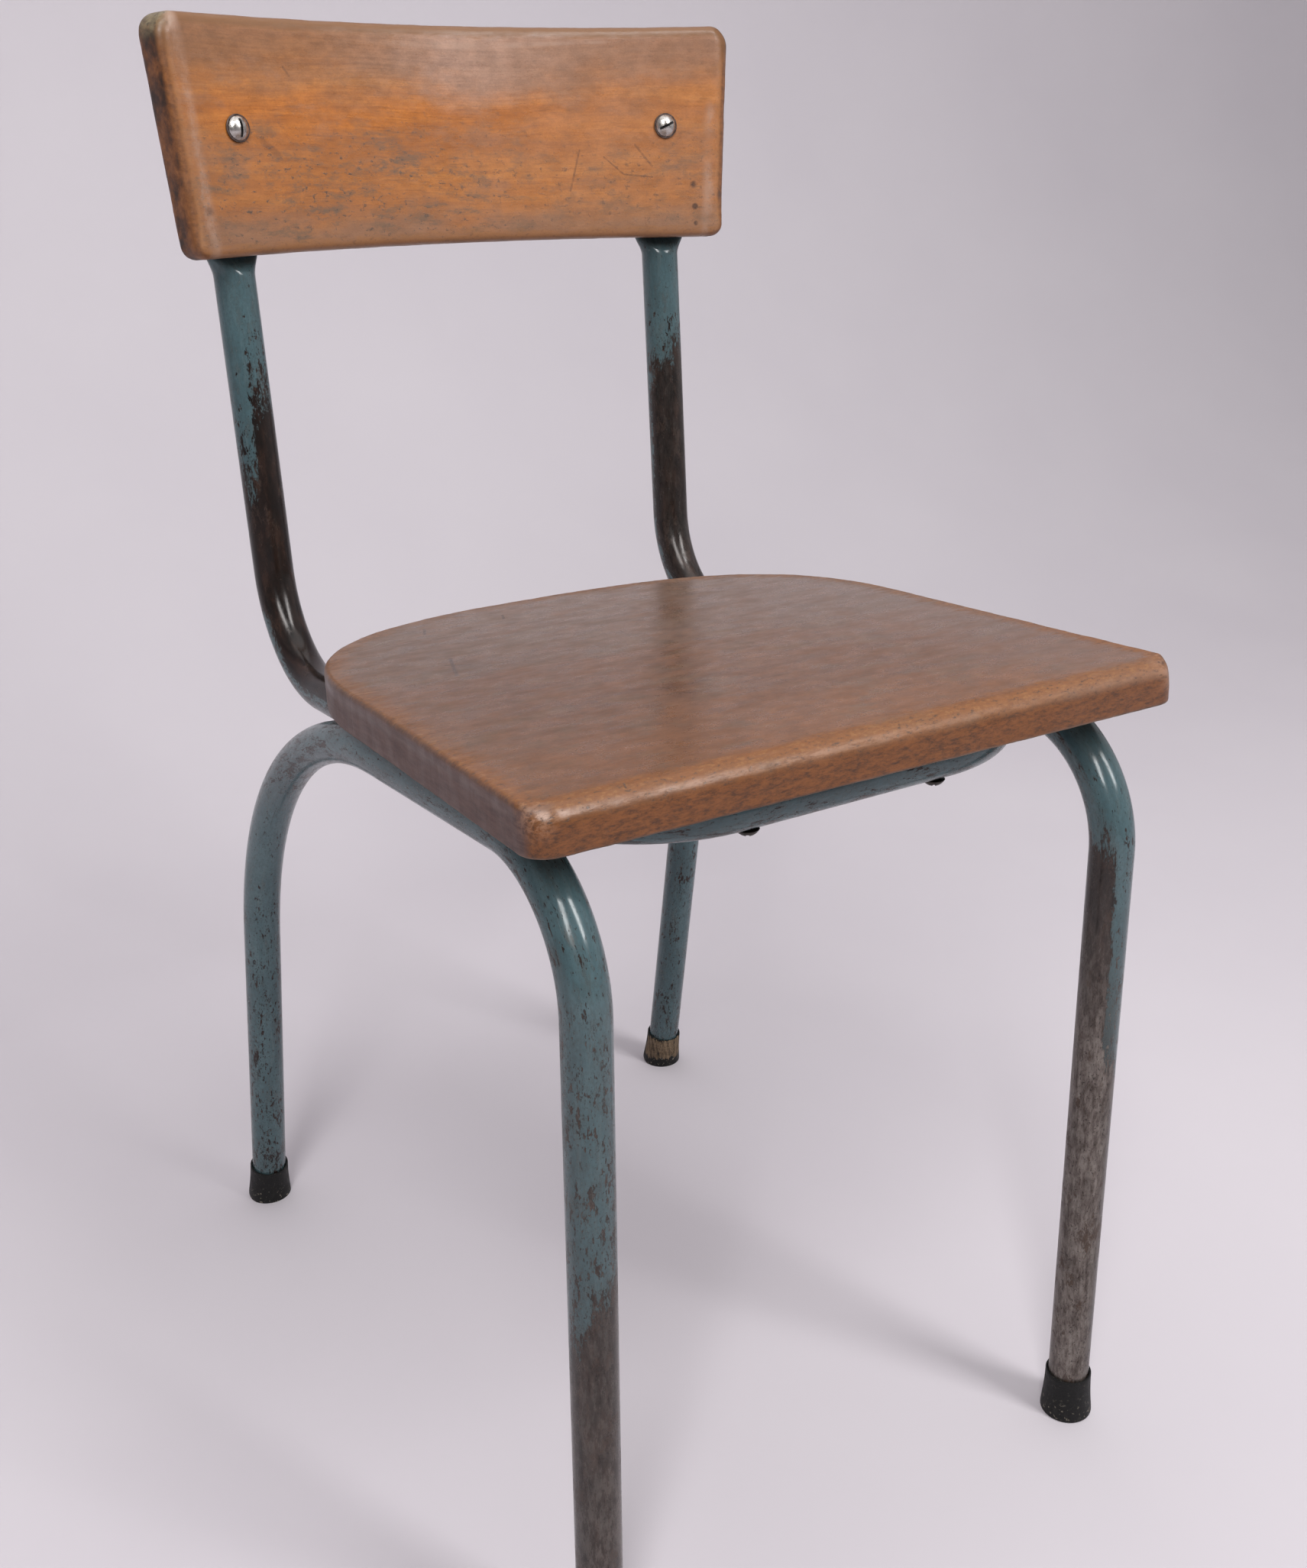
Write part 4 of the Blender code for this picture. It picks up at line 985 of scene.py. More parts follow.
    colour = g.mix(g.times(corner, g.span(rub, 0.38, 0.62, 0.35, 0.9)), colour, (0.235, 0.185, 0.105))
    colour = g.mix(g.times(corner, g.span(speck, 0.38, 0.46, 0.75, 0.0)), colour, (0.050, 0.038, 0.026))

    # marks that can be made out one by one
    dents = [
        g.near(spot, (x_place, y_place, BACKREST_THICKNESS), radius, soft)
        for x_place, y_place, radius, soft in (
            (0.1475, -0.0330, 0.0030, 0.2), (0.1478, -0.0455, 0.0024, 0.5), (0.1480, -0.0550, 0.0017, 0.5),
            (0.1655, -0.0400, 0.0040, 0.5), (-0.1540, -0.0400, 0.0036, 0.1),
        )
    ]
    dents[-1] = g.times(dents[-1], 0.7)
    scratches = [
        g.times(g.streak(spot, start, end, width), strength)
        for start, end, width, strength in (
            ((-0.117, -0.006), (-0.108, -0.013), 0.0026, 0.4),
            ((-0.100, 0.030), (-0.097, 0.026), 0.0008, 0.5),
            ((0.077, -0.012), (0.070, -0.034), 0.0009, 0.55),
            ((0.092, -0.016), (0.104, -0.026), 0.0007, 0.55),
            ((0.104, -0.026), (0.122, -0.028), 0.0007, 0.55),
            ((0.112, -0.010), (0.122, -0.022), 0.0009, 0.50),
        )
    ]
    marks = g.most(*dents, *scratches)
    marks = g.times(marks, g.span(speck, 0.36, 0.56, 0.50, 1.0))
    colour = g.mix(g.times(marks, 0.88), colour, (0.075, 0.042, 0.030))
    rough = g.add(
        g.span(g.noise(spot, (34, 80, 40), 6, 0.68), 0.35, 0.68, 0.24, 0.40),
        g.times(band, 0.10), g.times(side_share, 0.10), g.times(smudges, 0.12), g.times(is_end, 0.10),
    )
    height = g.add(
        g.times(fibres, 0.10), g.times(pores, -0.08), g.times(marks, -0.12), g.times(specks, -0.15),
        g.times(dust, 0.05), g.times(rub, g.most(band, corner), 0.4), g.times(smudges, -0.08),
    )
    return g.finish(colour, rough, g.bump(height, 0.00030, 0.6))


def black_rubber():
    """Scuffed black rubber with specks of dust, worn to beige where a field called dusty says so."""
    g = Graph("black_rubber_worn")
    spot = g.node("ShaderNodeTexCoord").outputs["Object"]
    dusty = g.field("dusty")
    grain = g.noise(spot, (950, 950, 950), 5, 0.7)
    blotch = g.noise(spot, (190, 190, 110), 6, 0.7)
    colour = g.ramp(grain, (0.35, (0.0035, 0.0035, 0.0037)), (0.65, (0.0095, 0.0094, 0.0092)))
    speck = g.span(g.noise(spot, (480, 480, 480), 4, 0.62), 0.60, 0.66)
    low = g.span(g.parts(spot)[2], 0.005, 0.014, 0.75, 0.12)
    colour = g.mix(g.times(speck, low), colour, (0.240, 0.210, 0.165))
    colour = g.mix(g.span(blotch, 0.50, 0.70, 0.0, 0.30), colour, (0.044, 0.042, 0.038))
    streaky = g.noise(spot, (520, 520, 90), 6, 0.72)
    uneven = g.add(g.sway(streaky, 2.1), g.sway(blotch, 0.9))
    caked = g.span(g.add(dusty, uneven), 0.50, 0.66)
    beige = g.ramp(
        g.add(g.times(grain, 0.35), g.times(streaky, 0.65)),
        (0.40, (0.050, 0.036, 0.024)), (0.52, (0.170, 0.118, 0.074)), (0.62, (0.280, 0.200, 0.126)),
    )
    colour = g.mix(g.times(caked, 0.9), colour, beige)
    rough = g.add(g.span(blotch, 0.35, 0.68, 0.50, 0.68), g.times(caked, 0.2))
    height = g.add(g.times(grain, 0.35), g.times(speck, 0.3), g.times(caked, 0.5), g.times(blotch, 0.25))
    g.shader.inputs["Specular IOR Level"].default_value = 0.25
    return g.finish(colour, rough, g.bump(height, 0.0003, 0.7))


def screw_metal(name, dark, middle, bright, rough_low, rough_high, metal):
    """Turned steel with fine scuffs and darker blotches; made near black it lines the screw slots, as dirt
    and painted shade.
    """
    g = Graph(name)
    spot = g.node("ShaderNodeTexCoord").outputs["Object"]
    grain = g.noise(spot, (1400, 1400, 1400), 4, 0.7)
    blotch = g.noise(spot, (420, 420, 420), 4, 0.65)
    colour = g.ramp(blotch, (0.32, dark), (0.5, middle), (0.68, bright))
    colour = g.mix(g.span(grain, 0.55, 0.75, 0.0, 0.4), colour, dark)
    rough = g.span(g.add(g.times(blotch, 0.6), g.times(grain, 0.4)), 0.35, 0.65, rough_low, rough_high)
    return g.finish(colour, rough, g.bump(g.add(grain, blotch), 0.00008, 0.5), metal)


paint = painted_steel()
rubber = black_rubber()
bright_steel = screw_metal(
    "bright_screw_steel", (0.34, 0.31, 0.28), (0.52, 0.49, 0.46), (0.66, 0.64, 0.62), 0.24, 0.38, 1.0,
)
# washers: dark brown steel, whose darkness also paints the shadow ring round each backrest screw head
washer_steel_and_shade = screw_metal(
    "washer_steel_and_shade", (0.045, 0.030, 0.026), (0.090, 0.062, 0.054), (0.160, 0.120, 0.105), 0.32, 0.50, 0.6,
)
# screw slots: dirt, and painted shade in their recess
slot_dirt_and_shade = screw_metal(
    "slot_dirt_and_shade", (0.006, 0.005, 0.005), (0.010, 0.008, 0.008), (0.020, 0.016, 0.014), 0.70, 0.90, 0.0,
)
dark_steel = screw_metal(
    "dark_screw_steel", (0.010, 0.008, 0.007), (0.026, 0.019, 0.015), (0.060, 0.044, 0.034), 0.30, 0.50, 0.7,
)

# How the frame is worn, seen from the photograph's side
CAMERA_RIGHT = Vector((0.85, -0.527, 0.0))
TO_CAMERA = Vector((-0.527, -0.85, 0.0))


def facing(outward, to_camera, to_right):
    """How squarely a point looks in a level direction, given as shares of the two above."""
    return outward.dot((TO_CAMERA * to_camera + CAMERA_RIGHT * to_right).normalized())


def leg_wear(side, point, outward):
    """worn, chipped and pale for a leg hoop; worn also carries painted shade under the seat."""
    y, z = point.y, point.z
    worn, chipped, pale = 0.0, 0.55, 0.0
    if side < 0 and y < 0.0:
        # left front: chips all over, then bare near the floor, sooner on the side towards the right
        limit = 0.198 + 0.022 * facing(outward, 0.3, 0.9)
        worn = blend_share(z, limit + 0.052, limit - 0.040)
        right_edge = blend_share(facing(outward, 0.25, 1.0), 0.75, 1.0)
        worn = max(worn, 0.40 * right_edge * blend_share(z, 0.34, 0.25))
        worn = max(worn, 0.20 * blend_share(z, 0.42, 0.34))
        pale = 0.26 * blend_share(z, 0.41, 0.33) + 0.24 * blend_share(z, 0.17, 0.05)
        chipped = 0.58 + 0.30 * blend_share(z, 0.37, 0.27)
    elif side < 0:
        # left rear: a brown line under the bend, chips lower down
        worn = 0.32 * blend_share(z, 0.075, 0.030)
        chipped = 0.40 + 0.42 * blend_share(z, 0.27, 0.20)
        if y < 0.12 and z > 0.34:
            line = blend_share(abs(facing(outward, -0.2, 1.0) - 0.62), 0.38, 0.10)
            worn = max(worn, 0.52 * (line * blend_share(outward.z, 0.75, 0.30)))
    elif y < 0.0:
        # right front: a bare strip down the left of it, widening, until it is bare all round
        strip = blend_share(facing(outward, 0.62, -0.78), 0.36, 0.86)
        top = blend_share(z, 0.388, 0.322)
        all_round = blend_share(z, 0.275 + 0.035 * facing(outward, 0.2, -1.0), 0.200)
        worn = max(strip * top, all_round)
        left_side = blend_share(facing(outward, 0.75, -0.65), -0.5, 0.6)
        pale = 0.12 + 0.88 * blend_share(z, 0.335, 0.225) * left_side
        chipped = 0.38 + 0.40 * blend_share(z, 0.375, 0.325)
    else:
        worn = 0.28 * blend_share(z, 0.12, 0.03)
        chipped = 0.70
    # rails under the seat, on their sides and undersides: wear and painted shade
    if z > 0.37 and outward.z < 0.2:
        worn = max(worn, 0.30)
    if side < 0 and y > 0.0:
        worn = max(worn, 0.36 * blend_share(z, 0.30, 0.36))
    return worn, chipped, pale


def back_frame_wear(point, outward):
    """worn, chipped and pale for the back frame; worn also carries painted shade under the seat."""
    x, y, z = point
    chipped, pale, worn = 0.45, 0.0, 0.0
    if y > 0.06 and x < 0:
        # left post: the paint ends high on its right and lower on its left, and comes back under the bend
        limit = 0.494 + 0.046 * blend_share(facing(outward, 0.5, 0.85), 0.50, 0.80)
        worn = blend_share(z, limit + 0.042, limit - 0.034)
        left_edge = blend_share(facing(outward, 0.15, -1.0), 0.86, 0.98) * blend_share(z, 0.455, 0.475)
        heel_height = 0.411 + 0.020 * facing(outward, 0.1, -1.0)
        heel = blend_share(z, heel_height + 0.012, heel_height - 0.012) * blend_share(outward.z, 0.50, 0.0)
        worn *= (1.0 - heel) * (1.0 - 0.75 * left_edge)
        chipped = 0.28 + 0.95 * blend_share(z, limit + 0.070, limit + 0.005)
    elif y > 0.06:
        # right post: paint is left down its left edge
        limit = 0.529 + 0.014 * facing(outward, 0.7, 0.7)
        off_left_edge = blend_share(facing(outward, 0.15, -1.0), 0.95, 0.80)
        worn = blend_share(z, limit + 0.042, limit - 0.026) * off_left_edge
        chipped = 0.40 + 0.80 * blend_share(z, limit + 0.075, limit)
        pale = 0.10
    # front cross tube under the seat: wear and painted shade, most on its underside
    elif y < -0.15:
        worn = 0.20 + 0.22 * blend_share(outward.z, 0.1, -0.7)
        chipped = 0.30
    else:
        # rails and bends under the seat: wear and painted shade
        worn = 0.28
        chipped = 0.6
    return worn, chipped, pale


def wear_fields(points, outwards, rods, wear):
    """The fields that the paint reads, one value for each point."""
    values = [wear(point, outward) for point, outward in zip(points, outwards)]
    return {
        "rod": rods,
        "worn": [float(value[0]) for value in values],
        "chipped": [float(value[1]) for value in values],
        "pale": [float(value[2]) for value in values],
    }


# Leg hoops
for side_name, side in SIDES:
    front_foot, front_lean = foot_and_lean(side, "front")
    rear_foot, rear_lean = foot_and_lean(side, "rear")
    front_corner, rear_corner = hoop_corners(side)
    tube_start = FERRULE_FLOOR + GAP
    front_end, rear_end = front_foot + front_lean * tube_start, rear_foot + rear_lean * tube_start
    hoop_path = fillet([front_end, front_corner, rear_corner, rear_end], [FRONT_LEG_BEND, REAR_LEG_BEND])
    hoop_path = filled_in(hoop_path, RING_STEP)
    points, rods, outwards, faces = tube_mesh(hoop_path, TUBE_RADIUS)
    rods = [(across + 0.5 * side, other, along) for across, other, along in rods]
    fields = wear_fields(points, outwards, rods, lambda point, outward: leg_wear(side, point, outward))
    new_piece(side_name + "_leg", points, faces, paint, [side_name + "_leg_hoop"], fields)

# Back frame, with its posts pressed flat behind the backrest
cross_corner = rail_point(inner_rail_x(1, CROSS_TUBE_Y), CROSS_TUBE_Y)
post_unit = post_lean.normalized()
post_top = tab_middle + post_unit * POST_TOP_ABOVE_SCREW
screw_share = BACKREST_RADIUS * screw_angle / (BACKREST_FOOT_WIDTH / 2)
board_foot = BACKREST_BELOW_SCREW + BACKREST_FOOT_ARCH * screw_share ** 2
press_end = board_foot - BACKREST_REAR_ROUND
press_start = press_end + PRESS_LENGTH
press_steps = 14
post_stations = [
    tab_middle - post_unit * (press_start - PRESS_LENGTH * step / press_steps)
    for step in range(press_steps + 1)
]
half_path = fillet(
    [rail_point(0.0, CROSS_TUBE_Y), cross_corner, post_corner, post_top],
    [CROSS_TUBE_BEND, POST_BEND],
)
half_path = filled_in(half_path[1:-1] + post_stations + [tab_middle, post_top], RING_STEP)
frame_path = filled_in([mirrored(point, -1) for point in reversed(half_path)] + half_path, RING_STEP)


def pressed_section(angle, half_thickness):
    """A tube's section pressed to a flat one of the same girth, as (along the normal, across)."""
    quarter_girth = pi * TUBE_RADIUS / 2
    flat = quarter_girth - pi * half_thickness / 2
    quadrant = int(angle // (pi / 2)) % 4
    run = (angle - quadrant * pi / 2) * TUBE_RADIUS
    if quadrant % 2:
        run = quarter_girth - run
    if run <= flat:
        normal, across = half_thickness, run
    else:
        bend = (run - flat) / half_thickness
        normal, across = half_thickness * cos(bend), flat + half_thickness * sin(bend)
    if quadrant in (1, 2):
        normal = -normal
    if quadrant in (2, 3):
        across = -across
    return normal, across


def tab_axes(side):
    """The directions through a tab and across it."""
    axis = mirrored(post_unit, side)
    normal = squared_to(axis, front_normal(side))
    return axis, normal, axis.cross(normal)


def pressed(point):
    """A point of the back frame's round tube, moved to where it is once the post's top is pressed."""
    side = 1 if point.x > 0 else -1
    middle = mirrored(tab_middle, side)
    axis, normal, across = tab_axes(side)
    arm = point - middle
    below = -arm.dot(axis)
    if below > press_start:
        return point
    share = blend_share(below, press_start, press_end)
    half_thickness = TUBE_RADIUS + (TAB_THICKNESS / 2 - TUBE_RADIUS) * share
    angle = atan2(arm.dot(across), arm.dot(normal)) % (2 * pi)
    thick, wide = pressed_section(angle, half_thickness)
    return middle - axis * below + normal * thick + across * wide


end_axes = [tab_axes(side)[1] for side in (-1, 1)]
points, rods, outwards, faces = tube_mesh(frame_path, TUBE_RADIUS, pressed, PRESSED_END, end_axes)
fields = wear_fields(points, outwards, rods, back_frame_wear)
new_piece("back_frame", points, faces, paint, ["back_frame_tube"], fields)


# Boards
def both_halves(right):
    """A closed outline, from its right half."""
    outline = [(point.x, point.y) for point in right]
    return outline + [(-x, y) for x, y in reversed(outline[1:-1])]


def seat_outline():
    """The seat in plan, anticlockwise from the middle of the front edge."""
    depth = SEAT_REAR_Y - SEAT_FRONT_Y
    round_start = depth - SEAT_REAR_ROUND
    front_half = SEAT_WIDTH / 2
    rear_half = front_half - tan(SEAT_SIDE_TAPER) * round_start
    corners = [Vector((x, y, 0.0)) for x, y in ((0.0, 0.0), (front_half, 0.0), (rear_half, round_start))]
    right = filled_in(fillet(corners, [SEAT_CORNER_RADIUS], CORNER_STEP), OUTLINE_STEP)
    steps = 60
    power = 2 / SEAT_REAR_EXPONENT
    rear = []
    for step in range(1, steps + 1):
        angle = pi / 2 * step / steps
        rear.append(Vector((
            rear_half * max(cos(angle), 0.0) ** power,
            round_start + SEAT_REAR_ROUND * sin(angle) ** power,
            0.0,
        )))
    rear[-1].x = 0.0
    right += filled_in([right[-1]] + rear, OUTLINE_STEP * 1.6)[1:]
    return [(x, y + SEAT_FRONT_Y) for x, y in both_halves(right)]


def seat_round(edge):
    """Full nose at the front, easing round the front corners to the plain edge radius."""
    nose = min(SEAT_NOSE_RADIUS, 0.9 * SEAT_CORNER_RADIUS)
    share = min(max((edge.y - SEAT_FRONT_Y) / SEAT_CORNER_RADIUS, 0.0), 1.0)
    return nose + (SEAT_EDGE_RADIUS - nose) * share


def rough_rim(point, rim, size, seed):
    """How far knocks and rubbing have taken a rim back."""
    if rim > RIM_REACH:
        return 0.0
    broad = noise.noise(point * 70 + Vector((seed, 0.0, 0.0)))
    fine = noise.noise(point * 330 + Vector((seed, 3.0, 0.0)))
    return size * blend_share(rim, RIM_REACH, 0.002) * max(0.5 + broad * 0.8 + fine * 0.5, 0.0)


def knock(point, x, y, z, size):
    """How far a knock on a corner has taken a point back."""
    return size * blend_share((point - Vector((x, y, z))).length, KNOCK_REACH, 0.004)


def seat_wear(point, rim):
    """Dents along the rims, and more off the two front corners."""
    depth = rough_rim(point, rim, SEAT_RIM_WEAR, 1.0)
    for side, size in SEAT_CORNER_KNOCKS.items():
        depth += knock(point, side * SEAT_WIDTH / 2, SEAT_FRONT_Y, SEAT_THICKNESS, size)
    return depth


def backrest_outline():
    """The backrest laid flat, anticlockwise: along the curve, and up from the screws."""
    top = BACKREST_TOP_WIDTH / 2
    foot = BACKREST_FOOT_WIDTH / 2
    corners = [
        Vector((0.0, BACKREST_ABOVE_SCREW, 0.0)),
        Vector((top, BACKREST_ABOVE_SCREW, 0.0)),
        Vector((foot, -BACKREST_BELOW_SCREW - BACKREST_FOOT_ARCH, 0.0)),
    ]
    steps = 24
    for step in range(2, steps + 1):
        share = 1 - step / steps
        corners.append(Vector((foot * share, corners[2].y + BACKREST_FOOT_ARCH * (1 - share * share), 0.0)))
    path = fillet(corners[:4], [BACKREST_TOP_CORNER, BACKREST_FOOT_CORNER], CORNER_STEP)
    right = filled_in(path + corners[4:], OUTLINE_STEP)
    return [(x + BACKREST_OFFSET, y) for x, y in reversed(both_halves(right))]


def backrest_round(edge):
    """The front rounding: broad down the two ends, easing to the plain radius past the corners."""
    half = (BACKREST_TOP_WIDTH + BACKREST_FOOT_WIDTH) / 4 + edge.y * END_SLOPE
    at_end = blend_share(abs(edge.x - BACKREST_OFFSET), half - 0.010, half - 0.001)
    clear_of_foot = blend_share(edge.y, -BACKREST_BELOW_SCREW, -BACKREST_BELOW_SCREW + 0.022)
    return BACKREST_FRONT_ROUND + (BACKREST_END_ROUND - BACKREST_FRONT_ROUND) * at_end * clear_of_foot


def backrest_wear(point, rim):
    """Dents along the rims, and a knocked upper left corner."""
    corner = (-BACKREST_TOP_WIDTH / 2, BACKREST_ABOVE_SCREW, BACKREST_THICKNESS)
    return rough_rim(point, rim, BACKREST_RIM_WEAR, 7.0) + knock(point, *corner, BACKREST_CORNER_KNOCK)


seat_place = (
    Matrix.Translation(rail_point(SEAT_OFFSET, 0.0, SEAT_LIFT))
    @ Matrix.Rotation(-RAIL_SLOPE, 4, "X")
    @ Matrix.Translation((0.0, SEAT_FRONT_Y, 0.0))
    @ Matrix.Rotation(SEAT_TURN, 4, "Z")
    @ Matrix.Translation((0.0, -SEAT_FRONT_Y, 0.0))
)
points, grains, rims, faces = rounded_board(
    seat_outline(), SEAT_THICKNESS, seat_round, SEAT_UNDER_RADIUS, seat_wear,
)
new_piece(
    "seat", [seat_place @ point for point in points], faces, seat_wood(),
    ["seat_board"], {"grain": grains, "rim": rims},
)


def bent_place(point):
    """A point of the flat backrest, bent round the sitter's back and stood up on the posts."""
    depth = BACKREST_THICKNESS - point.z
    angle = point.x / BACKREST_RADIUS
    reach = BACKREST_RADIUS + depth
    return backrest_origin + backrest_turn @ Vector((
        reach * sin(angle), reach * cos(angle) - BACKREST_RADIUS, point.y,
    ))


points, grains, rims, faces = rounded_board(
    backrest_outline(), BACKREST_THICKNESS, backrest_round, BACKREST_REAR_ROUND, backrest_wear,
)
new_piece(
    "backrest", [bent_place(point) for point in points], [face[::-1] for face in faces], backrest_wood(),
    ["backrest_board"], {"grain": grains, "rim": rims},
)

# Ferrules, with a rolled rim and a flat foot
bore = TUBE_RADIUS + GAP
ferrule_top = bore + FERRULE_WALL_TOP
ferrule_foot = bore + FERRULE_WALL_FOOT
wall_steps = 12
clean_dust, caked_dust = 0.10, 0.72
for side_name, side in SIDES:
    for row in ("front", "rear"):
        foot, lean = foot_and_lean(side, row)
        profile = [
            (FERRULE_HUB, FERRULE_FLOOR),
            (bore, FERRULE_FLOOR),
            (bore, FERRULE_HEIGHT - FERRULE_LIP),
            (bore + FERRULE_LIP_EDGE, FERRULE_HEIGHT - FERRULE_LIP_CROWN),
            (ferrule_top - FERRULE_LIP_EDGE, FERRULE_HEIGHT - FERRULE_LIP_CROWN),
            (ferrule_top, FERRULE_HEIGHT - FERRULE_LIP),
            (ferrule_top, FERRULE_HEIGHT - FERRULE_COLLAR),
        ]
        for step in range(1, wall_steps):
            share = step / wall_steps
            radius = ferrule_top + (ferrule_foot - ferrule_top) * share
            height = FERRULE_HEIGHT - FERRULE_COLLAR - (FERRULE_HEIGHT - FERRULE_COLLAR_AND_TOE) * share
            profile.append((radius - FERRULE_WAIST * sin(share * pi), height))
        profile += [(ferrule_foot - drawn_in, height) for drawn_in, height in FERRULE_TOE]
        profile.append((FERRULE_HUB, -FERRULE_BELOW_FLOOR))
        points, faces = lathe(profile, frame_at(foot, lean), floor=True)
        dust = [clean_dust] * len(points)
        if side > 0 and row == "rear":
            dust = []
            for point in points:
                from_middle = (point - foot).normalized()
                share = blend_share(facing(from_middle, 1.0, 0.1), -0.3, 0.5)
                low, high = blend_share(point.z, 0.003, 0.010), blend_share(point.z, 0.0275, 0.0225)
                dust.append(clean_dust + caked_dust * share * low * high)
        name = row + "_" + side_name + "_ferrule"
        new_piece(name + "_rubber", points, faces, rubber, [name], {"dusty": dust})

# Seat screws
for side_name, side in SIDES:
    places = (
        ("front", side * FRONT_SEAT_SCREW_SPREAD / 2, CROSS_TUBE_Y),
        ("rear", inner_rail_x(side, REAR_SEAT_SCREW_Y), REAR_SEAT_SCREW_Y),
    )
    for row, x, y in places:
        head_seat = frame_at(rail_point(x, y, -TUBE_RADIUS - GAP), RAIL_NORMAL)
        flipped = head_seat @ Matrix.Rotation(pi, 4, "X")
        profile = dome(SEAT_SCREW_HEAD, SEAT_SCREW_HEAD_HEIGHT)
        profile += [(SEAT_SCREW_SHANK, 0.0), (SEAT_SCREW_SHANK, -SEAT_SCREW_REACH)]
        points, faces = lathe(profile, flipped)
        name = row + "_" + side_name + "_seat_screw"
        screw = new_piece(name + "_steel", points, faces, dark_steel, [name])
        slot_place = on_axis(flipped, SEAT_SCREW_HEAD_HEIGHT, SEAT_SCREW_TURNS[row])
        cut_slot(screw, (SLOT_WIDTH, 3 * SEAT_SCREW_HEAD, 2 * SLOT_DEPTH), slot_place)

# Backrest screws, washers and nuts
washer_back = BACKREST_THICKNESS + GAP
head_back = washer_back + WASHER_THICKNESS + GAP
nut_front = -GAP - TAB_THICKNESS - GAP
shank_end = nut_front - NUT_THICKNESS - BACK_SCREW_TAIL
for (side_name, side), slot_turn in zip(SIDES, (LEFT_SLOT_TURN, RIGHT_SLOT_TURN)):
    normal = front_normal(side)
    on_board = mirrored(tab_middle, side) + normal * (TAB_THICKNESS / 2 + GAP)
    axis_place = frame_at(on_board, normal)
    head = dome(BACK_SCREW_HEAD, BACK_SCREW_HEAD_HEIGHT)
    profile = [(radius, head_back + height) for radius, height in head]
    profile += [(BACK_SCREW_SHANK, head_back), (BACK_SCREW_SHANK, shank_end)]
    points, faces = lathe(profile, axis_place)
    screw_name = side_name + "_backrest_screw"
    screw = new_piece(screw_name + "_steel", points, faces, bright_steel, [screw_name])
    slot_place = on_axis(axis_place, head_back + BACK_SCREW_HEAD_HEIGHT, slot_turn)
    cut_slot(screw, (4 * BACK_SCREW_HEAD, SLOT_WIDTH, 2 * SLOT_DEPTH), slot_place)
    washer_bore = BACK_SCREW_SHANK + GAP
    profile = [
        (washer_bore, washer_back + WASHER_THICKNESS),
        (WASHER_RADIUS - WASHER_EDGE, washer_back + WASHER_THICKNESS),
        (WASHER_RADIUS, washer_back + WASHER_THICKNESS - WASHER_EDGE),
        (WASHER_RADIUS, washer_back),
        (washer_bore, washer_back),
    ]
    points, faces = lathe(profile, axis_place)
    faces = faces[:-2]
    last = (len(profile) - 1) * TURN_STEPS
    for step in range(TURN_STEPS):
        following = (step + 1) % TURN_STEPS
        faces.append((last + step, step, following, last + following))
    name = side_name + "_backrest_washer"
    new_piece(name + "_steel", points, faces, washer_steel_and_shade, [name])
    name = side_name + "_backrest_nut"
    for material_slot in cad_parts[name].material_slots:
        material_slot.material = dark_steel

# Weld beads
weld_drop = sqrt((TUBE_RADIUS + GAP + WELD_RADIUS) ** 2 - (RAIL_SPACING / 2) ** 2)
for side_name, side in SIDES:
    front_corner, rear_corner = hoop_corners(side)
    along = (rear_corner - front_corner).normalized()
    front_turn = foot_and_lean(side, "front")[1].angle(along)
    rear_turn = along.angle(-foot_and_lean(side, "rear")[1])
    hoop_start = front_corner.y + FRONT_LEG_BEND * tan(front_turn / 2)
    hoop_end = rear_corner.y - REAR_LEG_BEND * tan(rear_turn / 2)
    run_start = max(hoop_start, CROSS_TUBE_Y + CROSS_TUBE_BEND)
    for row, y in (("front", run_start + WELD_LENGTH / 2), ("rear", hoop_end - WELD_LENGTH / 2)):
        x = inner_rail_x(side, y) + side * RAIL_SPACING / 2
        place = frame_at(rail_point(x, y, -weld_drop), along)
        profile = []
        steps = 48
        for step in range(1, steps):
            share = step / steps
            ripple = 1.0 - WELD_RIPPLE * (0.5 + 0.5 * cos(share * 2 * pi * WELD_RIPPLES))
            swell = sqrt(max(1 - (2 * share - 1) ** 4, 0.0))
            profile.append((WELD_RADIUS * swell * ripple, WELD_LENGTH * (0.5 - share)))
        points, faces = lathe(profile, place, WELD_SIDES)
        name = side_name + "_" + row + "_weld"
        count = len(points)
        fields = {
            "rod": [tuple(point) for point in points], "worn": [0.2] * count,
            "chipped": [0.6] * count, "pale": [0.0] * count,
        }
        new_piece(name + "_bead", points, faces, paint, [name], fields)

# Camera
CAMERA_PLACE = Vector((-0.41983, -0.70860, 0.67169))
CAMERA_AZIMUTH = radians(-31.776)
CAMERA_ELEVATION = radians(21.811)
CAMERA_ROLL = radians(-0.689)
FOCAL_PIXELS = 2096.3
PHOTO_WIDTH = 1711
lens = bpy.data.cameras.new("camera")
lens.sensor_fit = "HORIZONTAL"
lens.sensor_width = 36.0
lens.lens = FOCAL_PIXELS * lens.sensor_width / PHOTO_WIDTH
lens.clip_start = 0.01
camera = in_scene("camera", lens)
look = Vector((
    -sin(CAMERA_AZIMUTH) * cos(CAMERA_ELEVATION),
    cos(CAMERA_AZIMUTH) * cos(CAMERA_ELEVATION),
    -sin(CAMERA_ELEVATION),
))
camera.matrix_world = (
    Matrix.Translation(CAMERA_PLACE)
    @ look.to_track_quat("-Z", "Y").to_matrix().to_4x4()
    @ Matrix.Rotation(CAMERA_ROLL, 4, "Z")
)
bpy.context.scene.camera = camera


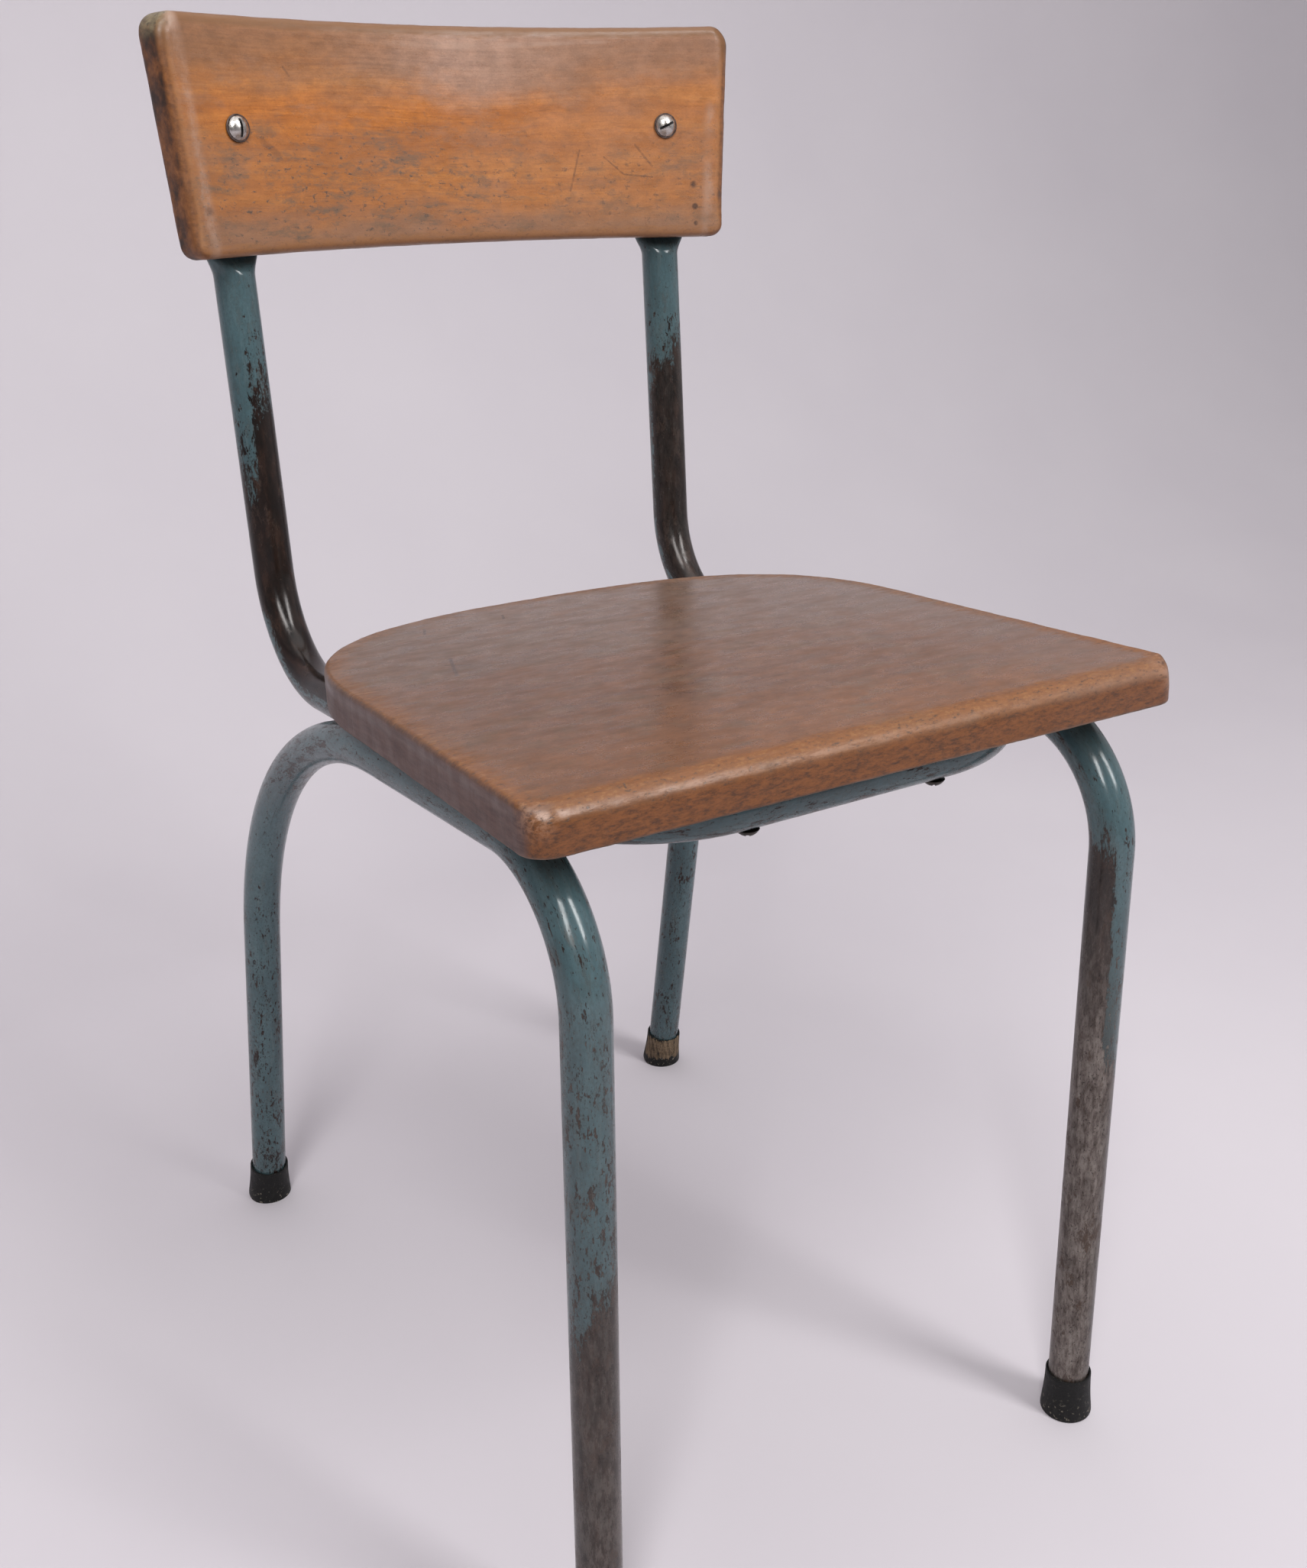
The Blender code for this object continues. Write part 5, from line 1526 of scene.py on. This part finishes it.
# Floor and backdrop in one sweep
def sweep():
    """A floor that curves up into a backdrop behind the chair."""
    half_width, front, back, bend, height = 6.0, -5.0, 1.6, 1.0, 4.5
    line = [(front, 0.0), (back - bend, 0.0)]
    for step in range(1, 13):
        angle = step / 12 * pi / 2
        line.append((back - bend + bend * sin(angle), bend - bend * cos(angle)))
    line.append((back, height))
    mesh = bpy.data.meshes.new("backdrop")
    points = [(x, y, z) for y, z in line for x in (-half_width, half_width)]
    mesh.from_pydata(points, [], [(2 * i, 2 * i + 1, 2 * i + 3, 2 * i + 2) for i in range(len(line) - 1)])
    mesh.shade_smooth()
    backdrop = in_scene("backdrop", mesh)
    g = Graph("pale_floor")
    spot = g.node("ShaderNodeTexCoord").outputs["Object"]
    tone = g.noise(spot, (3, 3, 3), 3)
    colour = g.ramp(tone, (0.3, (0.575, 0.535, 0.570)), (0.7, (0.600, 0.560, 0.592)))
    mesh.materials.append(g.finish(colour, 0.75))


sweep()

# Light
world = bpy.data.worlds.new("studio")
bpy.context.scene.world = world
world.use_nodes = True
room = world.node_tree
direction = room.nodes.new("ShaderNodeTexCoord")
front_of_room = room.nodes.new("ShaderNodeVectorMath")
front_of_room.operation = "DOT_PRODUCT"
front_of_room.inputs[1].default_value = (TO_CAMERA * 0.9 + Vector((0.0, 0.0, 0.1))).normalized()
dimming = room.nodes.new("ShaderNodeMapRange")
for name, number in (("From Min", -0.2), ("From Max", 0.8), ("To Min", 0.62), ("To Max", 0.22)):
    dimming.inputs[name].default_value = number
room.links.new(direction.outputs["Generated"], front_of_room.inputs[0])
room.links.new(front_of_room.outputs["Value"], dimming.inputs["Value"])
room.links.new(dimming.outputs[0], room.nodes["Background"].inputs["Strength"])
room.nodes["Background"].inputs["Color"].default_value = (0.93, 0.92, 0.95, 1.0)

CHAIR_MIDDLE = Vector((0.0, 0.0, 0.4))
WINDOW_SIZE = (0.60, 1.9)


def soft_light(name, place, width, height, power):
    """A rectangular studio light aimed at the chair."""
    lamp = bpy.data.lights.new(name, "AREA")
    lamp.shape = "RECTANGLE"
    lamp.size = width
    lamp.size_y = height
    lamp.energy = power
    light = in_scene(name, lamp)
    light.location = place
    aim = CHAIR_MIDDLE - Vector(place)
    light.rotation_euler = aim.to_track_quat("-Z", "Y").to_euler()


def round_the_chair(turn, elevation, distance):
    """A place round the chair, at an angle to the right of the photograph's side and one above level."""
    level = TO_CAMERA * cos(turn) + CAMERA_RIGHT * sin(turn)
    return CHAIR_MIDDLE + (level * cos(elevation) + Vector((0.0, 0.0, sin(elevation)))) * distance


for name, turn, power in (("left_window", -6, 44.0), ("right_window", 56, 46.0)):
    soft_light(name, round_the_chair(radians(turn), radians(45), 2.8), *WINDOW_SIZE, power)
soft_light("top", (0.2, 0.3, 2.7), 2.2, 2.2, 15.0)

bpy.context.scene.view_settings.view_transform = "Standard"
